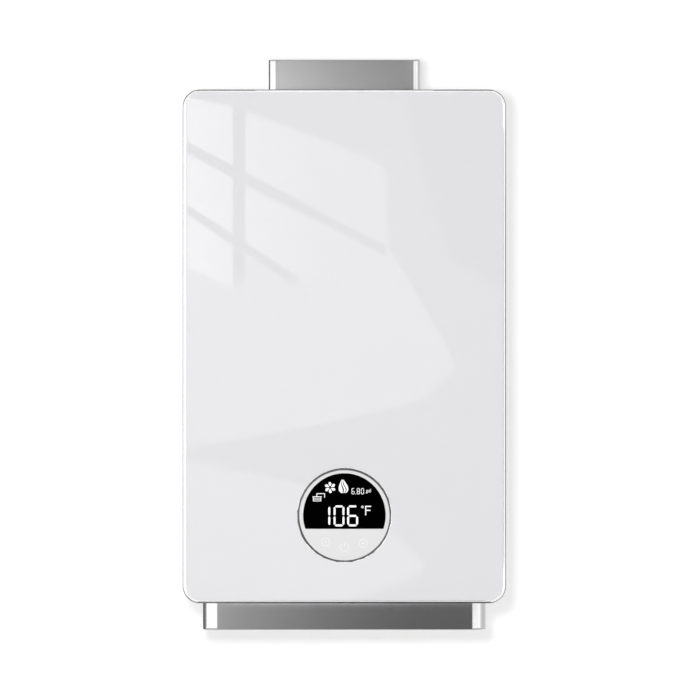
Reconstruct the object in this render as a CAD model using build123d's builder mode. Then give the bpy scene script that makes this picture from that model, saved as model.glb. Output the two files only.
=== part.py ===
from build123d import *
import os

# A wall-hung propane water heater: a glass panel on a sheet-metal case, with a fan-fed burner, a finned
# copper exchanger, a gas valve and a metered water inlet inside, and a flue hood on top.
# Millimetres. The heater stands on the rim of its skirt at Z = 0. X runs to the right seen from the front,
# Y runs from the glass to the wall, and the origin is the middle of the footprint.

os.makedirs("parts", exist_ok=True)

# ---------------------------------------------------------------- case
panel_width = 340.0
panel_height = 540.0
panel_corner = 18.0
skirt_drop = 28.0  # chassis below the glass panel
hood_rise = 32.0  # flue hood above the glass panel
total_depth = 142.0  # glass face to wall
sheet = 1.0  # steel sheet of the case
fit_gap = 0.2  # clearance between pieces that drop into each other

glass = 5.0
glass_bevel = 2.4
tray_margin = 1.2  # metal edge seen round the glass
tray_depth = 10.0
tray_round = 0.8
tape = 1.0  # bonding tape under the glass
tape_width = 14.0
tape_inset = 10.0
back_board = 1.5

chassis_width = 298.0
chassis_corner = 16.0  # wide bends of the front cover
rear_corner = 12.0  # bends of the rear shell
chassis_setdown = 20.0  # chassis top below the panel top
lap = 12.0  # front cover over rear shell
cover_depth = 65.0  # front cover, from its face to its rear edge
hem = 6.0  # inward lip round the skirt
floor_height = 30.0  # underside of the floor plate
flange = 12.0  # upstand of the floor and top plates
bracket_sheet = 2.0

# ---------------------------------------------------------------- display
display_height = 120.5  # centre above the base
ring_radius = 49.45
ring_width = 1.9
lens = 3.0
window_radius = 42.9
window_drop = 14.2  # flat edge of the black window below the centre
light_box_radius = 44.0
light_box_depth = 7.0
board = 1.6

# ---------------------------------------------------------------- flue
hood_width = 160.0
hood_margin = 12.0  # hood short of the case, front and back
hood_corner = 8.0
hood_flange = 9.0
gasket = 1.5
collar_radius = 30.3  # bore for a 60 mm exhaust pipe
collar_wall = 0.7
collar_length = 48.0
collar_flange = 8.0
stub_lap = 14.0  # collector stub over the collar

# ---------------------------------------------------------------- combustion stack
stack_side = 71.0  # room beside the stack for pipes and controls
stack_gap = 23.0  # room before and behind the stack
stack_flange = 8.0
burner_floor = 200.0
burner_height = 100.0
collector_drop = 76.0  # collector base below the chassis top
collector_cone = 50.0
tube_radius = 7.0
tube_wall = 0.8
tube_count = 4
tube_edge = 9.5  # outer tubes in from the exchanger's walls
tube_stub = 6.0  # straight tube outside the exchanger wall
fin_drop = 22.0  # tube line below the collector
fin_height = 34.0
fin_sheet = 0.5
fin_pitch = 4.4
pipe_radius = 6.5
pipe_wall = 0.8
coil_gap = 1.8  # lets the bends clear the chamber's corners
bar_count = 9
bar_margin = 4.2
bar_width = 9.0
bar_height = 74.0
bar_lift = 7.0
nozzle_height = 21.0  # nozzle line above the burner floor
electrode_drop = 12.0  # electrodes below the burner top

# ---------------------------------------------------------------- blower
blower_z = 134.0
blower_side = 13.75  # housing clear of the hot pipe and of the gas valve
duct_width = 54.0
blower_width = 46.0
blower_set_back = 15.0  # housing front, in front of the stack's middle plane
blower_sheet = 1.2
impeller_gap = 10.0  # impeller inside the scroll
eye_lip = 13.0  # inlet eye inside the impeller's rim
blade_count = 28
shaft_radius = 2.5
running_gap = 0.05
motor_radius = 32.0
motor_length = 34.0

# ---------------------------------------------------------------- connections
port_setback = 5.0  # connections in front of the stack's middle plane
hot_inset = 49.0  # in from the sides of the case
cold_inset = 37.0
port_pitch = 56.0  # gas connection to cold inlet
gland_pitch = 48.0  # cord gland to hot outlet
thread_radius = 10.5
thread_end = 4.0  # lowest point of the threaded ends
thread_length = 22.0
collar_step = 0.3  # plain collar over the thread, where it passes the floor
port_bore = 7.0
hex_across = 27.0
hex_height = 10.0
drain_offset = 27.0  # drain cock beside the cold inlet
drain_radius = 6.0
drain_bore = 3.5
drain_end = 14.0
drain_travel = 4.0

# ---------------------------------------------------------------- gas valve
valve_width = 44.0
valve_bottom = 58.0
valve_height = 80.0
chamber_radius = 11.0
chamber_depth = 20.0
seat_radius = 5.0
solenoid_radius = 14.0
solenoid_clear = 4.0  # coils clear of the front cover
solenoid_plate = 3.0
plunger_radius = 4.0
disc_radius = 9.0
disc_height = 3.0
valve_stroke = 3.0

# ---------------------------------------------------------------- places worked out from the sizes above
glass_y = -total_depth / 2
wall_y = total_depth / 2
panel_top = skirt_drop + panel_height
panel_mid = skirt_drop + panel_height / 2
total_height = panel_top + hood_rise
chassis_top = panel_top - chassis_setdown
glass_back = glass_y + glass
tray_front = glass_back + tape
tray_rear = tray_front + tray_depth
board_front = tray_rear - back_board
shell_inset = sheet + fit_gap
inner_inset = shell_inset + sheet
chassis_front = tray_rear
chassis_back = wall_y - bracket_sheet + shell_inset
chassis_depth = chassis_back - chassis_front
seam_y = chassis_front + cover_depth
lap_y = seam_y - lap
inside_front = chassis_front + sheet
inside_back = chassis_back - inner_inset
inside_side = chassis_width / 2 - inner_inset
floor_top = floor_height + sheet
wall_top = chassis_top - sheet
lens_back = glass_y + lens
ring_inner = ring_radius - ring_width
stack_y = (inside_front + inside_back) / 2
stack_width = chassis_width - 2 * stack_side
stack_depth = inside_back - inside_front - 2 * stack_gap
tube_pitch = (stack_depth - 2 * tube_edge) / (tube_count - 1)
bar_pitch = (stack_width - 2 * bar_margin) / bar_count
hood_depth = chassis_back - shell_inset - chassis_front - 2 * hood_margin
port_y = stack_y - port_setback
hot_x = hot_inset - chassis_width / 2
gland_x = hot_x + gland_pitch
cold_x = chassis_width / 2 - cold_inset
gas_x = cold_x - port_pitch
blower_left = hot_x + pipe_radius + blower_side
blower_right = gas_x - valve_width / 2 - blower_side
blower_x = (blower_left + blower_right) / 2
scroll_radius = (blower_right - blower_left) / 2
impeller_radius = scroll_radius - impeller_gap
burner_top = burner_floor + burner_height
exchanger_base = burner_top
exchanger_top = chassis_top - collector_drop
fin_z = exchanger_top - fin_drop
coil_y = stack_depth / 2 + coil_gap + pipe_radius
coil_x = stack_width / 2 + coil_gap + pipe_radius
collar_outer = collar_radius + collar_wall


def save(piece, name):
    """Names a finished piece and writes it to its own file."""
    piece.part.label = name
    export_step(piece.part, f"parts/{name}.step")


def facing(y):
    """Plane across the heater at depth y, drawn as seen from the front; it extrudes towards the front."""
    return Plane.XZ.offset(-y)


def case_outline(inset):
    """Plan of the case, drawn in from its outer skin, with wide bends in front and tighter ones behind."""
    with BuildSketch() as plan:
        with Locations((0, chassis_front + chassis_depth / 2)):
            Rectangle(chassis_width - 2 * inset, chassis_depth - 2 * inset)
        fillet(plan.vertices().group_by(Axis.Y)[0], chassis_corner - inset)
        fillet(plan.vertices().group_by(Axis.Y)[-1], rear_corner - inset)
    return plan.sketch


def case_area(inset, y_from, y_to):
    """Part of the case plan that lies between two depths."""
    whole = case_outline(inset)
    with BuildSketch() as area:
        add(whole)
        with Locations((0, (y_from + y_to) / 2)):
            Rectangle(2 * chassis_width, y_to - y_from, mode=Mode.INTERSECT)
    return area.sketch


def case_band(outer_inset, inner_inset_, y_from, y_to):
    """Wall of the case between two insets, from one depth to another."""
    area = case_area(outer_inset, y_from, y_to)
    core = case_outline(inner_inset_)
    with BuildSketch() as band:
        add(area)
        add(core, mode=Mode.SUBTRACT)
    return band.sketch


def window_outline(grow):
    """The black window: a disc with its foot cut off level, as large as grow makes it."""
    with BuildSketch() as outline:
        with Locations((0, display_height)):
            Circle(window_radius + grow)
        with Locations((0, display_height - window_drop - grow)):
            Rectangle(
                3 * window_radius, 3 * window_radius, align=(Align.CENTER, Align.MIN), mode=Mode.INTERSECT
            )
    return outline.sketch


def round_pipe(points, bend, radius, wall):
    """A tube with round bends along the points, hollow if it has a wall."""
    with BuildPart() as pipe:
        with BuildLine() as route:
            FilletPolyline(*points, radius=bend)
        with BuildSketch(Plane(origin=route.line @ 0, z_dir=route.line % 0)):
            Circle(radius)
            if wall:
                Circle(radius - wall, mode=Mode.SUBTRACT)
        sweep()
    return pipe


# ================================================================ glass panel
with BuildPart() as glass_panel:
    with BuildSketch(facing(glass_back)):
        with Locations((0, panel_mid)):
            RectangleRounded(
                panel_width - 2 * tray_margin, panel_height - 2 * tray_margin, panel_corner - tray_margin
            )
        with Locations((0, display_height)):
            Circle(ring_radius + fit_gap / 2, mode=Mode.SUBTRACT)
    extrude(amount=glass)
    chamfer(glass_panel.faces().sort_by(Axis.Y)[0].outer_wire().edges(), glass_bevel)
save(glass_panel, "glass_panel")

# A pan that opens to the rear: its front wall carries the glass, its rounded edge shows round it.
with BuildPart() as panel_tray:
    with BuildSketch(facing(tray_rear)):
        with Locations((0, panel_mid)):
            RectangleRounded(panel_width, panel_height, panel_corner)
    extrude(amount=tray_depth)
    fillet(panel_tray.faces().sort_by(Axis.Y)[0].outer_wire().edges(), tray_round)
    with BuildSketch(facing(tray_rear)):
        with Locations((0, panel_mid)):
            RectangleRounded(panel_width - 2 * sheet, panel_height - 2 * sheet, panel_corner - sheet)
    extrude(amount=tray_depth - sheet, mode=Mode.SUBTRACT)
    with BuildSketch(facing(tray_rear)):
        with Locations((0, display_height)):
            Circle(ring_inner - fit_gap)
    extrude(amount=tray_depth, mode=Mode.SUBTRACT)
save(panel_tray, "panel_tray")

with BuildPart() as glass_tape:
    with BuildSketch(facing(tray_front)):
        with Locations((0, panel_mid)):
            Rectangle(panel_width - 2 * tape_inset, panel_height - 2 * tape_inset)
            Rectangle(
                panel_width - 2 * (tape_inset + tape_width),
                panel_height - 2 * (tape_inset + tape_width),
                mode=Mode.SUBTRACT,
            )
        with Locations((0, display_height)):
            Circle(ring_radius + tape_width)
            Circle(ring_radius + fit_gap, mode=Mode.SUBTRACT)
    extrude(amount=tape)
save(glass_tape, "glass_tape")

board_boss = 3.0
cable_hole = 9.0
boss_reach = light_box_radius - 3 * board_boss
board_y = lens_back + light_box_depth
panel_screw_inset = 29.0
panel_screw_x = chassis_width / 2 - panel_screw_inset
panel_screw_z = 210.0
panel_screw_radius = 1.75

with BuildPart() as panel_back:
    with BuildSketch(facing(tray_rear)):
        with Locations((0, panel_mid)):
            RectangleRounded(
                panel_width - 2 * shell_inset, panel_height - 2 * shell_inset, panel_corner - shell_inset
            )
            with GridLocations(2 * panel_screw_x, 2 * panel_screw_z, 2, 2):
                Circle(panel_screw_radius + fit_gap, mode=Mode.SUBTRACT)
        with Locations((0, display_height)):
            Circle(cable_hole, mode=Mode.SUBTRACT)
    extrude(amount=back_board)
    with BuildSketch(facing(board_front)):
        with Locations((0, display_height)):
            with PolarLocations(boss_reach, 4, start_angle=45):
                Circle(board_boss)
    extrude(amount=board_front - board_y - board)
save(panel_back, "panel_back")

# ================================================================ display
window_hole = window_outline(fit_gap / 4)
window_shape = window_outline(0)

with BuildPart() as display_ring:
    with BuildSketch(facing(tray_front)):
        with Locations((0, display_height)):
            Circle(ring_radius)
            Circle(ring_inner, mode=Mode.SUBTRACT)
    extrude(amount=tray_front - glass_y)
    with BuildSketch(facing(lens_back + sheet)):
        with Locations((0, display_height)):
            Circle(ring_inner + ring_width / 2)
            Circle(light_box_radius + fit_gap, mode=Mode.SUBTRACT)
    extrude(amount=sheet)
save(display_ring, "display_ring")

with BuildPart() as display_lens:
    with BuildSketch(facing(lens_back)):
        with Locations((0, display_height)):
            Circle(ring_inner - fit_gap / 2)
        add(window_hole, mode=Mode.SUBTRACT)
    extrude(amount=lens)
save(display_lens, "display_lens")

with BuildPart() as display_window:
    with BuildSketch(facing(lens_back)):
        add(window_shape)
    extrude(amount=lens)
save(display_window, "display_window")

digit_cell = (11.0, 22.0)
digit_pitch = 13.5
digit_shift = -1.0
key_radius = 6.0
key_spread = 21.5
key_drop = 26.5

# The light box is a black moulding with a cell behind each digit and a well behind each touch key.
with BuildPart() as display_light_box:
    with BuildSketch(facing(board_y)):
        with Locations((0, display_height)):
            Circle(light_box_radius)
    extrude(amount=light_box_depth)
    with BuildSketch(facing(board_y)):
        with Locations((digit_shift, display_height)):
            with GridLocations(digit_pitch, 0, 3, 1):
                Rectangle(*digit_cell)
        with Locations(
            (-key_spread, display_height - key_drop),
            (0, display_height - key_drop - key_radius),
            (key_spread, display_height - key_drop),
        ):
            Circle(key_radius)
    extrude(amount=light_box_depth, mode=Mode.SUBTRACT)
save(display_light_box, "display_light_box")

with BuildPart() as display_board:
    with BuildSketch(facing(board_y + board)):
        with Locations((0, display_height)):
            Circle(light_box_radius - fit_gap)
    extrude(amount=board)
save(display_board, "display_board")

# ================================================================ case
screw_radius = 1.75
screw_head_radius = 3.6
screw_head_height = 1.6
screw_length = 7.0
screw_recess = 0.9
cover_screw_heights = (70.0, 290.0, 510.0)
lap_middle = seam_y - lap / 2
foot_screw_height = 14.0
foot_screw_x = 60.0
foot_screw_radius = 3.0
slot_length = 34.0
slot_width = 3.2
slot_pitch = 9.0
slot_count = 12
slot_height = 200.0

cover_wall = case_band(0, sheet, chassis_front, seam_y)
cover_hem = case_band(sheet / 2, sheet + hem, chassis_front, lap_y - fit_gap)
shell_wall = case_band(shell_inset, inner_inset, lap_y, chassis_back)
shell_hem = case_band(shell_inset + sheet / 2, inner_inset + hem, lap_y, chassis_back)
floor_front = case_area(shell_inset, chassis_front, lap_y - fit_gap)
floor_rear = case_area(inner_inset + fit_gap, lap_y - fit_gap, chassis_back)
plate_flange = case_band(inner_inset + fit_gap, inner_inset + fit_gap + sheet, lap_y, chassis_back)
top_front = case_area(0, chassis_front, seam_y)
top_rear = case_area(shell_inset, seam_y, chassis_back)

with BuildPart() as front_cover:
    with BuildSketch(Plane.XY):
        add(cover_wall)
    extrude(amount=wall_top)
    with BuildSketch(Plane.XY):
        add(cover_hem)
    extrude(amount=sheet)
    with BuildSketch(facing(chassis_front + sheet)):
        with Locations((0, display_height)):
            Circle(cable_hole)
        with Locations((0, panel_mid)):
            with GridLocations(2 * panel_screw_x, 2 * panel_screw_z, 2, 2):
                Circle(panel_screw_radius + fit_gap)
    extrude(amount=sheet, mode=Mode.SUBTRACT)
    with BuildSketch(Plane.YZ):
        with Locations([(lap_middle, z) for z in cover_screw_heights]):
            Circle(screw_radius + fit_gap)
    extrude(amount=chassis_width, both=True, mode=Mode.SUBTRACT)
save(front_cover, "front_cover")

with BuildPart() as rear_shell:
    with BuildSketch(Plane.XY):
        add(shell_wall)
    extrude(amount=wall_top)
    with BuildSketch(Plane.XY):
        add(shell_hem)
    extrude(amount=sheet)
    with BuildSketch(Plane.YZ):
        with Locations([(lap_middle, z) for z in cover_screw_heights]):
            Circle(screw_radius + fit_gap)
        with Locations(((seam_y + inside_back) / 2, slot_height)):
            with GridLocations(0, slot_pitch, 1, slot_count):
                SlotOverall(slot_length, slot_width)
    extrude(amount=chassis_width, both=True, mode=Mode.SUBTRACT)
    with BuildSketch(facing(chassis_back)):
        with Locations((0, foot_screw_height)):
            with GridLocations(2 * foot_screw_x, 0, 2, 1):
                Circle(foot_screw_radius + fit_gap)
    extrude(amount=inner_inset + sheet, mode=Mode.SUBTRACT)
save(rear_shell, "rear_shell")

gland_radius = 6.3
air_slot = 3.4
air_slot_length = 26.0
air_slot_pitch = 10.0
air_slot_count = 20
air_slot_back = 26.0

with BuildPart() as floor_plate:
    with BuildSketch(Plane.XY.offset(floor_height)):
        add(floor_front)
        add(floor_rear)
    extrude(amount=sheet)
    with BuildSketch(Plane.XY.offset(floor_height)):
        add(plate_flange)
    extrude(amount=flange)
    with BuildSketch(Plane.XY.offset(floor_height)):
        with Locations((hot_x, port_y), (gas_x, port_y), (cold_x, port_y)):
            Circle(thread_radius + collar_step + fit_gap)
        with Locations((cold_x - drain_offset, port_y)):
            Circle(drain_radius + fit_gap)
        with Locations((gland_x, port_y)):
            Circle(gland_radius)
        with Locations((0, inside_back - air_slot_back)):
            with GridLocations(air_slot_pitch, 0, air_slot_count, 1):
                SlotOverall(air_slot_length, air_slot, rotation=90)
    extrude(amount=sheet, mode=Mode.SUBTRACT)
save(floor_plate, "floor_plate")

stub_radius = collar_outer + fit_gap / 2 + sheet
hood_base = chassis_top + gasket
hood_screw_edge = 6.0
hood_screw_x = (hood_width + hood_flange) / 2
hood_screw_y = hood_depth / 2 - hood_screw_edge
flange_plan = (hood_width + 2 * hood_flange, hood_depth + 2 * hood_flange, hood_corner + hood_flange / 2)

with BuildPart() as top_plate:
    with BuildSketch(Plane.XY.offset(wall_top)):
        add(top_front)
        add(top_rear)
    extrude(amount=sheet)
    with BuildSketch(Plane.XY.offset(wall_top - flange)):
        add(plate_flange)
    extrude(amount=flange)
    with BuildSketch(Plane.XY.offset(wall_top)):
        with Locations((0, stack_y)):
            Circle(stub_radius + 2 * sheet)
            with GridLocations(2 * hood_screw_x, 2 * hood_screw_y, 2, 2):
                Circle(screw_radius + fit_gap)
    extrude(amount=sheet, mode=Mode.SUBTRACT)
save(top_plate, "top_plate")

# ================================================================ wall fixings
upper_width = 240.0
upper_overlap = 60.0  # bracket down the back of the shell
upper_rise = 17.0  # bracket above the chassis
upper_hole_x = 105.0
upper_hole_radius = 4.0
upper_hole_rise = 8.0
bracket_corner = 8.0
lower_width = 170.0
lower_bottom = 3.0
lower_height = 37.0

with BuildPart() as wall_bracket:
    with BuildSketch(facing(wall_y)):
        with Locations((0, chassis_top + (upper_rise - upper_overlap) / 2)):
            RectangleRounded(upper_width, upper_rise + upper_overlap, bracket_corner)
        with Locations((0, chassis_top + upper_hole_rise)):
            with GridLocations(2 * upper_hole_x, 0, 2, 1):
                Circle(upper_hole_radius, mode=Mode.SUBTRACT)
    extrude(amount=bracket_sheet)
save(wall_bracket, "wall_bracket")

with BuildPart() as foot_bracket:
    with BuildSketch(facing(wall_y)):
        with Locations((0, lower_bottom + lower_height / 2)):
            RectangleRounded(lower_width, lower_height, bracket_corner)
        with Locations((0, foot_screw_height)):
            with GridLocations(2 * foot_screw_x, 0, 2, 1):
                Circle(foot_screw_radius, mode=Mode.SUBTRACT)
    extrude(amount=bracket_sheet)
save(foot_bracket, "foot_bracket")

# ================================================================ flue
with BuildPart() as hood_gasket:
    with BuildSketch(Plane.XY.offset(chassis_top)):
        with Locations((0, stack_y)):
            RectangleRounded(*flange_plan)
            RectangleRounded(hood_width, hood_depth, hood_corner, mode=Mode.SUBTRACT)
            with GridLocations(2 * hood_screw_x, 2 * hood_screw_y, 2, 2):
                Circle(screw_radius + fit_gap, mode=Mode.SUBTRACT)
    extrude(amount=gasket)
save(hood_gasket, "hood_gasket")

with BuildPart() as flue_hood:
    with BuildSketch(Plane.XY.offset(hood_base)):
        with Locations((0, stack_y)):
            RectangleRounded(hood_width, hood_depth, hood_corner)
    extrude(amount=total_height - hood_base)
    with BuildSketch(Plane.XY.offset(hood_base)):
        with Locations((0, stack_y)):
            RectangleRounded(*flange_plan)
    extrude(amount=sheet)
    with BuildSketch(Plane.XY.offset(hood_base)):
        with Locations((0, stack_y)):
            RectangleRounded(hood_width - 2 * sheet, hood_depth - 2 * sheet, hood_corner - sheet)
    extrude(amount=total_height - hood_base - sheet, mode=Mode.SUBTRACT)
    with BuildSketch(Plane.XY.offset(hood_base)):
        with Locations((0, stack_y)):
            Circle(collar_outer + fit_gap / 2)
            with GridLocations(2 * hood_screw_x, 2 * hood_screw_y, 2, 2):
                Circle(screw_radius + fit_gap)
    extrude(amount=total_height - hood_base, mode=Mode.SUBTRACT)
save(flue_hood, "flue_hood")

with BuildPart() as flue_collar:
    with BuildSketch(Plane.XY.offset(total_height - collar_length)):
        with Locations((0, stack_y)):
            Circle(collar_outer)
    extrude(amount=collar_length)
    with BuildSketch(Plane.XY.offset(total_height - 2 * sheet)):
        with Locations((0, stack_y)):
            Circle(collar_outer + collar_flange)
    extrude(amount=sheet)
    with BuildSketch(Plane.XY.offset(total_height - collar_length)):
        with Locations((0, stack_y)):
            Circle(collar_radius)
    extrude(amount=collar_length, mode=Mode.SUBTRACT)
save(flue_collar, "flue_collar")

# The collector narrows from the exchanger's mouth to a round stub that slips over the collar's lower end.
collector_flange = sheet
stub_top = total_height - collar_length + stub_lap
stub_base = exchanger_top + collector_flange + collector_cone

with BuildPart() as smoke_collector:
    for shrink, mode in ((0, Mode.ADD), (sheet, Mode.SUBTRACT)):
        with BuildSketch(Plane.XY.offset(exchanger_top + collector_flange)):
            with Locations((0, stack_y)):
                Rectangle(stack_width - 2 * shrink, stack_depth - 2 * shrink)
        with BuildSketch(Plane.XY.offset(stub_base)):
            with Locations((0, stack_y)):
                Circle(stub_radius - shrink)
        loft(mode=mode)
    with BuildSketch(Plane.XY.offset(stub_base)):
        with Locations((0, stack_y)):
            Circle(stub_radius)
            Circle(stub_radius - sheet, mode=Mode.SUBTRACT)
    extrude(amount=stub_top - stub_base)
    with BuildSketch(Plane.XY.offset(exchanger_top)):
        with Locations((0, stack_y)):
            Rectangle(stack_width + 2 * stack_flange, stack_depth + 2 * stack_flange)
            Rectangle(stack_width - 2 * sheet, stack_depth - 2 * sheet, mode=Mode.SUBTRACT)
    extrude(amount=collector_flange)
save(smoke_collector, "smoke_collector")

# ================================================================ heat exchanger
tube_rows = [stack_y + tube_pitch * (i - (tube_count - 1) / 2) for i in range(tube_count)]
tube_end = stack_width / 2 + tube_stub

with BuildPart() as exchanger_shell:
    with BuildSketch(Plane.XY.offset(exchanger_base)):
        with Locations((0, stack_y)):
            Rectangle(stack_width, stack_depth)
            Rectangle(stack_width - 2 * sheet, stack_depth - 2 * sheet, mode=Mode.SUBTRACT)
    extrude(amount=exchanger_top - exchanger_base)
    for level in (exchanger_base, exchanger_top - sheet):
        with BuildSketch(Plane.XY.offset(level)):
            with Locations((0, stack_y)):
                Rectangle(stack_width + 2 * stack_flange, stack_depth + 2 * stack_flange)
                Rectangle(stack_width - 2 * sheet, stack_depth - 2 * sheet, mode=Mode.SUBTRACT)
        extrude(amount=sheet)
    with BuildSketch(Plane.YZ):
        with Locations([(y, fin_z) for y in tube_rows]):
            Circle(tube_radius + running_gap)
    extrude(amount=stack_width, both=True, mode=Mode.SUBTRACT)
save(exchanger_shell, "exchanger_shell")

tube_points = []
for i, y in enumerate(tube_rows):
    ends = [(-tube_end, y, fin_z), (tube_end + tube_pitch / 2, y, fin_z)]
    if i > 0:
        ends[0] = (-tube_end - tube_pitch / 2, y, fin_z)
    if i == tube_count - 1:
        ends[0] = (-tube_end, y, fin_z)
    tube_points += ends if i % 2 == 0 else ends[::-1]
bend_radius = tube_pitch / 2 - running_gap
exchanger_tubes = round_pipe(tube_points, bend_radius, tube_radius, tube_wall)
save(exchanger_tubes, "exchanger_tubes")

fin_span = stack_width - 2 * sheet - 2 * fin_pitch
fin_count = int(fin_span / fin_pitch)

with BuildPart() as one_fin:
    with BuildSketch(Plane.YZ):
        with Locations((stack_y, fin_z)):
            Rectangle(stack_depth - 2 * sheet - 2 * fit_gap, fin_height)
        with Locations([(y, fin_z) for y in tube_rows]):
            Circle(tube_radius + running_gap, mode=Mode.SUBTRACT)
    extrude(amount=fin_sheet / 2, both=True)

with BuildPart() as exchanger_fins:
    with GridLocations(fin_pitch, 0, fin_count, 1):
        add(one_fin.part)
save(exchanger_fins, "exchanger_fins")

# ================================================================ burner
manifold_thick = 14.0
manifold_height = 18.0
manifold_stand = 4.0  # rail clear of the burner box
nozzle_radius = 3.0
nozzle_tip = 3.0  # nozzle inside the box
nozzle_z = burner_floor + nozzle_height
box_front = stack_y - stack_depth / 2
electrode_z = burner_top - electrode_drop
electrode_x = 20.0
ceramic_radius = 3.0
duct_left = blower_x + scroll_radius - duct_width
duct_middle = blower_x + scroll_radius - duct_width / 2
blower_front = stack_y - blower_set_back
blower_back = blower_front + blower_width
blower_middle = (blower_front + blower_back) / 2

with BuildPart() as burner_box:
    with BuildSketch(Plane.XY.offset(burner_floor)):
        with Locations((0, stack_y)):
            Rectangle(stack_width, stack_depth)
    extrude(amount=burner_height)
    with BuildSketch(Plane.XY.offset(burner_top - sheet)):
        with Locations((0, stack_y)):
            Rectangle(stack_width + 2 * stack_flange, stack_depth + 2 * stack_flange)
    extrude(amount=sheet)
    with BuildSketch(Plane.XY.offset(burner_floor + sheet)):
        with Locations((0, stack_y)):
            Rectangle(stack_width - 2 * sheet, stack_depth - 2 * sheet)
    extrude(amount=burner_height - sheet, mode=Mode.SUBTRACT)
    with BuildSketch(Plane.XY.offset(burner_floor)):
        with Locations((duct_middle, blower_middle)):
            Rectangle(duct_width - 2 * blower_sheet, blower_width - 2 * blower_sheet)
    extrude(amount=sheet, mode=Mode.SUBTRACT)
    with BuildSketch(facing(box_front + sheet)):
        with Locations((0, nozzle_z)):
            with GridLocations(bar_pitch, 0, bar_count, 1):
                Circle(nozzle_radius + 5 * fit_gap)
        with Locations((0, electrode_z)):
            with GridLocations(2 * electrode_x, 0, 2, 1):
                Circle(ceramic_radius + fit_gap)
    extrude(amount=sheet, mode=Mode.SUBTRACT)
save(burner_box, "burner_box")

bar_length = stack_depth - 2 * sheet - 2 * fit_gap
bar_foot = burner_floor + sheet + bar_lift
throat_radius = 3.4
throat_depth = 40.0
port_slot = 1.2
port_slot_count = 12
port_slot_depth = 6.0
bar_waist = 5.0

# One burner bar: a pressed blade, wide at the venturi and at the head, with flame slots across the top.
with BuildPart() as one_bar:
    with BuildSketch(facing(stack_y + bar_length / 2)):
        with Locations((0, bar_foot)):
            Rectangle(bar_width, bar_height / 2, align=(Align.CENTER, Align.MIN))
            Rectangle(bar_waist, bar_height, align=(Align.CENTER, Align.MIN))
        with Locations((0, bar_foot + bar_height)):
            Rectangle(bar_width, bar_height / 4, align=(Align.CENTER, Align.MAX))
    extrude(amount=bar_length)
    with BuildSketch(facing(stack_y - bar_length / 2 + throat_depth)):
        with Locations((0, nozzle_z)):
            Circle(throat_radius)
    extrude(amount=throat_depth, mode=Mode.SUBTRACT)
    with BuildSketch(Plane.XY.offset(bar_foot + bar_height - port_slot_depth)):
        with Locations((0, stack_y)):
            with GridLocations(0, bar_length / port_slot_count, 1, port_slot_count):
                Rectangle(bar_width, port_slot)
    extrude(amount=port_slot_depth, mode=Mode.SUBTRACT)

with BuildPart() as burner_bars:
    with GridLocations(bar_pitch, 0, bar_count, 1):
        add(one_bar.part)
save(burner_bars, "burner_bars")

# The gas rail is a hollow bar on two feet, with a tapped pad for each nozzle.
rail_back = box_front - manifold_stand
rail_front = rail_back - manifold_thick
rail_mid = (rail_back + rail_front) / 2
rail_length = bar_pitch * (bar_count - 1) + 2 * manifold_thick
rail_bore = 4.5
rail_foot = 6.0

with BuildPart() as gas_manifold:
    with BuildSketch(facing(rail_back)):
        with Locations((0, nozzle_z)):
            RectangleRounded(rail_length, manifold_height, manifold_height / 4)
    extrude(amount=manifold_thick)
    with BuildSketch(facing(box_front)):
        with Locations((0, nozzle_z)):
            with GridLocations(rail_length - rail_foot, 0, 2, 1):
                Rectangle(rail_foot, manifold_height)
    extrude(amount=manifold_stand)
    with BuildSketch(Plane.YZ):
        with Locations((rail_mid, nozzle_z)):
            Circle(rail_bore)
    extrude(amount=rail_length / 2 - rail_foot, both=True, mode=Mode.SUBTRACT)
    with BuildSketch(facing(rail_back)):
        with Locations((0, nozzle_z)):
            with GridLocations(bar_pitch, 0, bar_count, 1):
                Circle(nozzle_radius / 2)
    extrude(amount=manifold_thick / 2, mode=Mode.SUBTRACT)
    with BuildSketch(Plane.XY.offset(nozzle_z - manifold_height / 2)):
        with Locations((gas_x, rail_mid)):
            Circle(rail_bore - sheet)
    extrude(amount=manifold_height / 2, mode=Mode.SUBTRACT)
save(gas_manifold, "gas_manifold")

with BuildPart() as one_nozzle:
    with BuildSketch(facing(rail_back + manifold_stand - sheet)):
        with Locations((0, nozzle_z)):
            RegularPolygon(nozzle_radius + sheet, 6)
    extrude(amount=manifold_stand - sheet)
    with BuildSketch(facing(box_front + nozzle_tip)):
        with Locations((0, nozzle_z)):
            Circle(nozzle_radius)
    extrude(amount=nozzle_tip + manifold_stand)
    with BuildSketch(facing(box_front + nozzle_tip)):
        with Locations((0, nozzle_z)):
            Circle(nozzle_radius / 4)
    extrude(amount=nozzle_tip + manifold_stand, mode=Mode.SUBTRACT)

with BuildPart() as gas_nozzles:
    with GridLocations(bar_pitch, 0, bar_count, 1):
        add(one_nozzle.part)
save(gas_nozzles, "gas_nozzles")

ceramic_length = 20.0
rod_radius = 0.8
rod_reach = 22.0

with BuildPart() as one_electrode:
    with BuildSketch(facing(box_front + 3 * sheet)):
        with Locations((0, electrode_z)):
            Circle(ceramic_radius)
    extrude(amount=ceramic_length)
    with BuildSketch(facing(box_front)):
        with Locations((0, electrode_z)):
            Circle(ceramic_radius + 2 * sheet)
    extrude(amount=2 * sheet)
    with BuildSketch(facing(box_front + rod_reach)):
        with Locations((0, electrode_z)):
            Circle(rod_radius)
    extrude(amount=rod_reach)

with BuildPart() as electrodes:
    with GridLocations(2 * electrode_x, 0, 2, 1):
        add(one_electrode.part)
save(electrodes, "electrodes")

bracket_x = 60.0
bracket_width = 16.0
bracket_foot = 36.0
bracket_reach = inside_back - (stack_y + stack_depth / 2) - fit_gap

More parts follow.
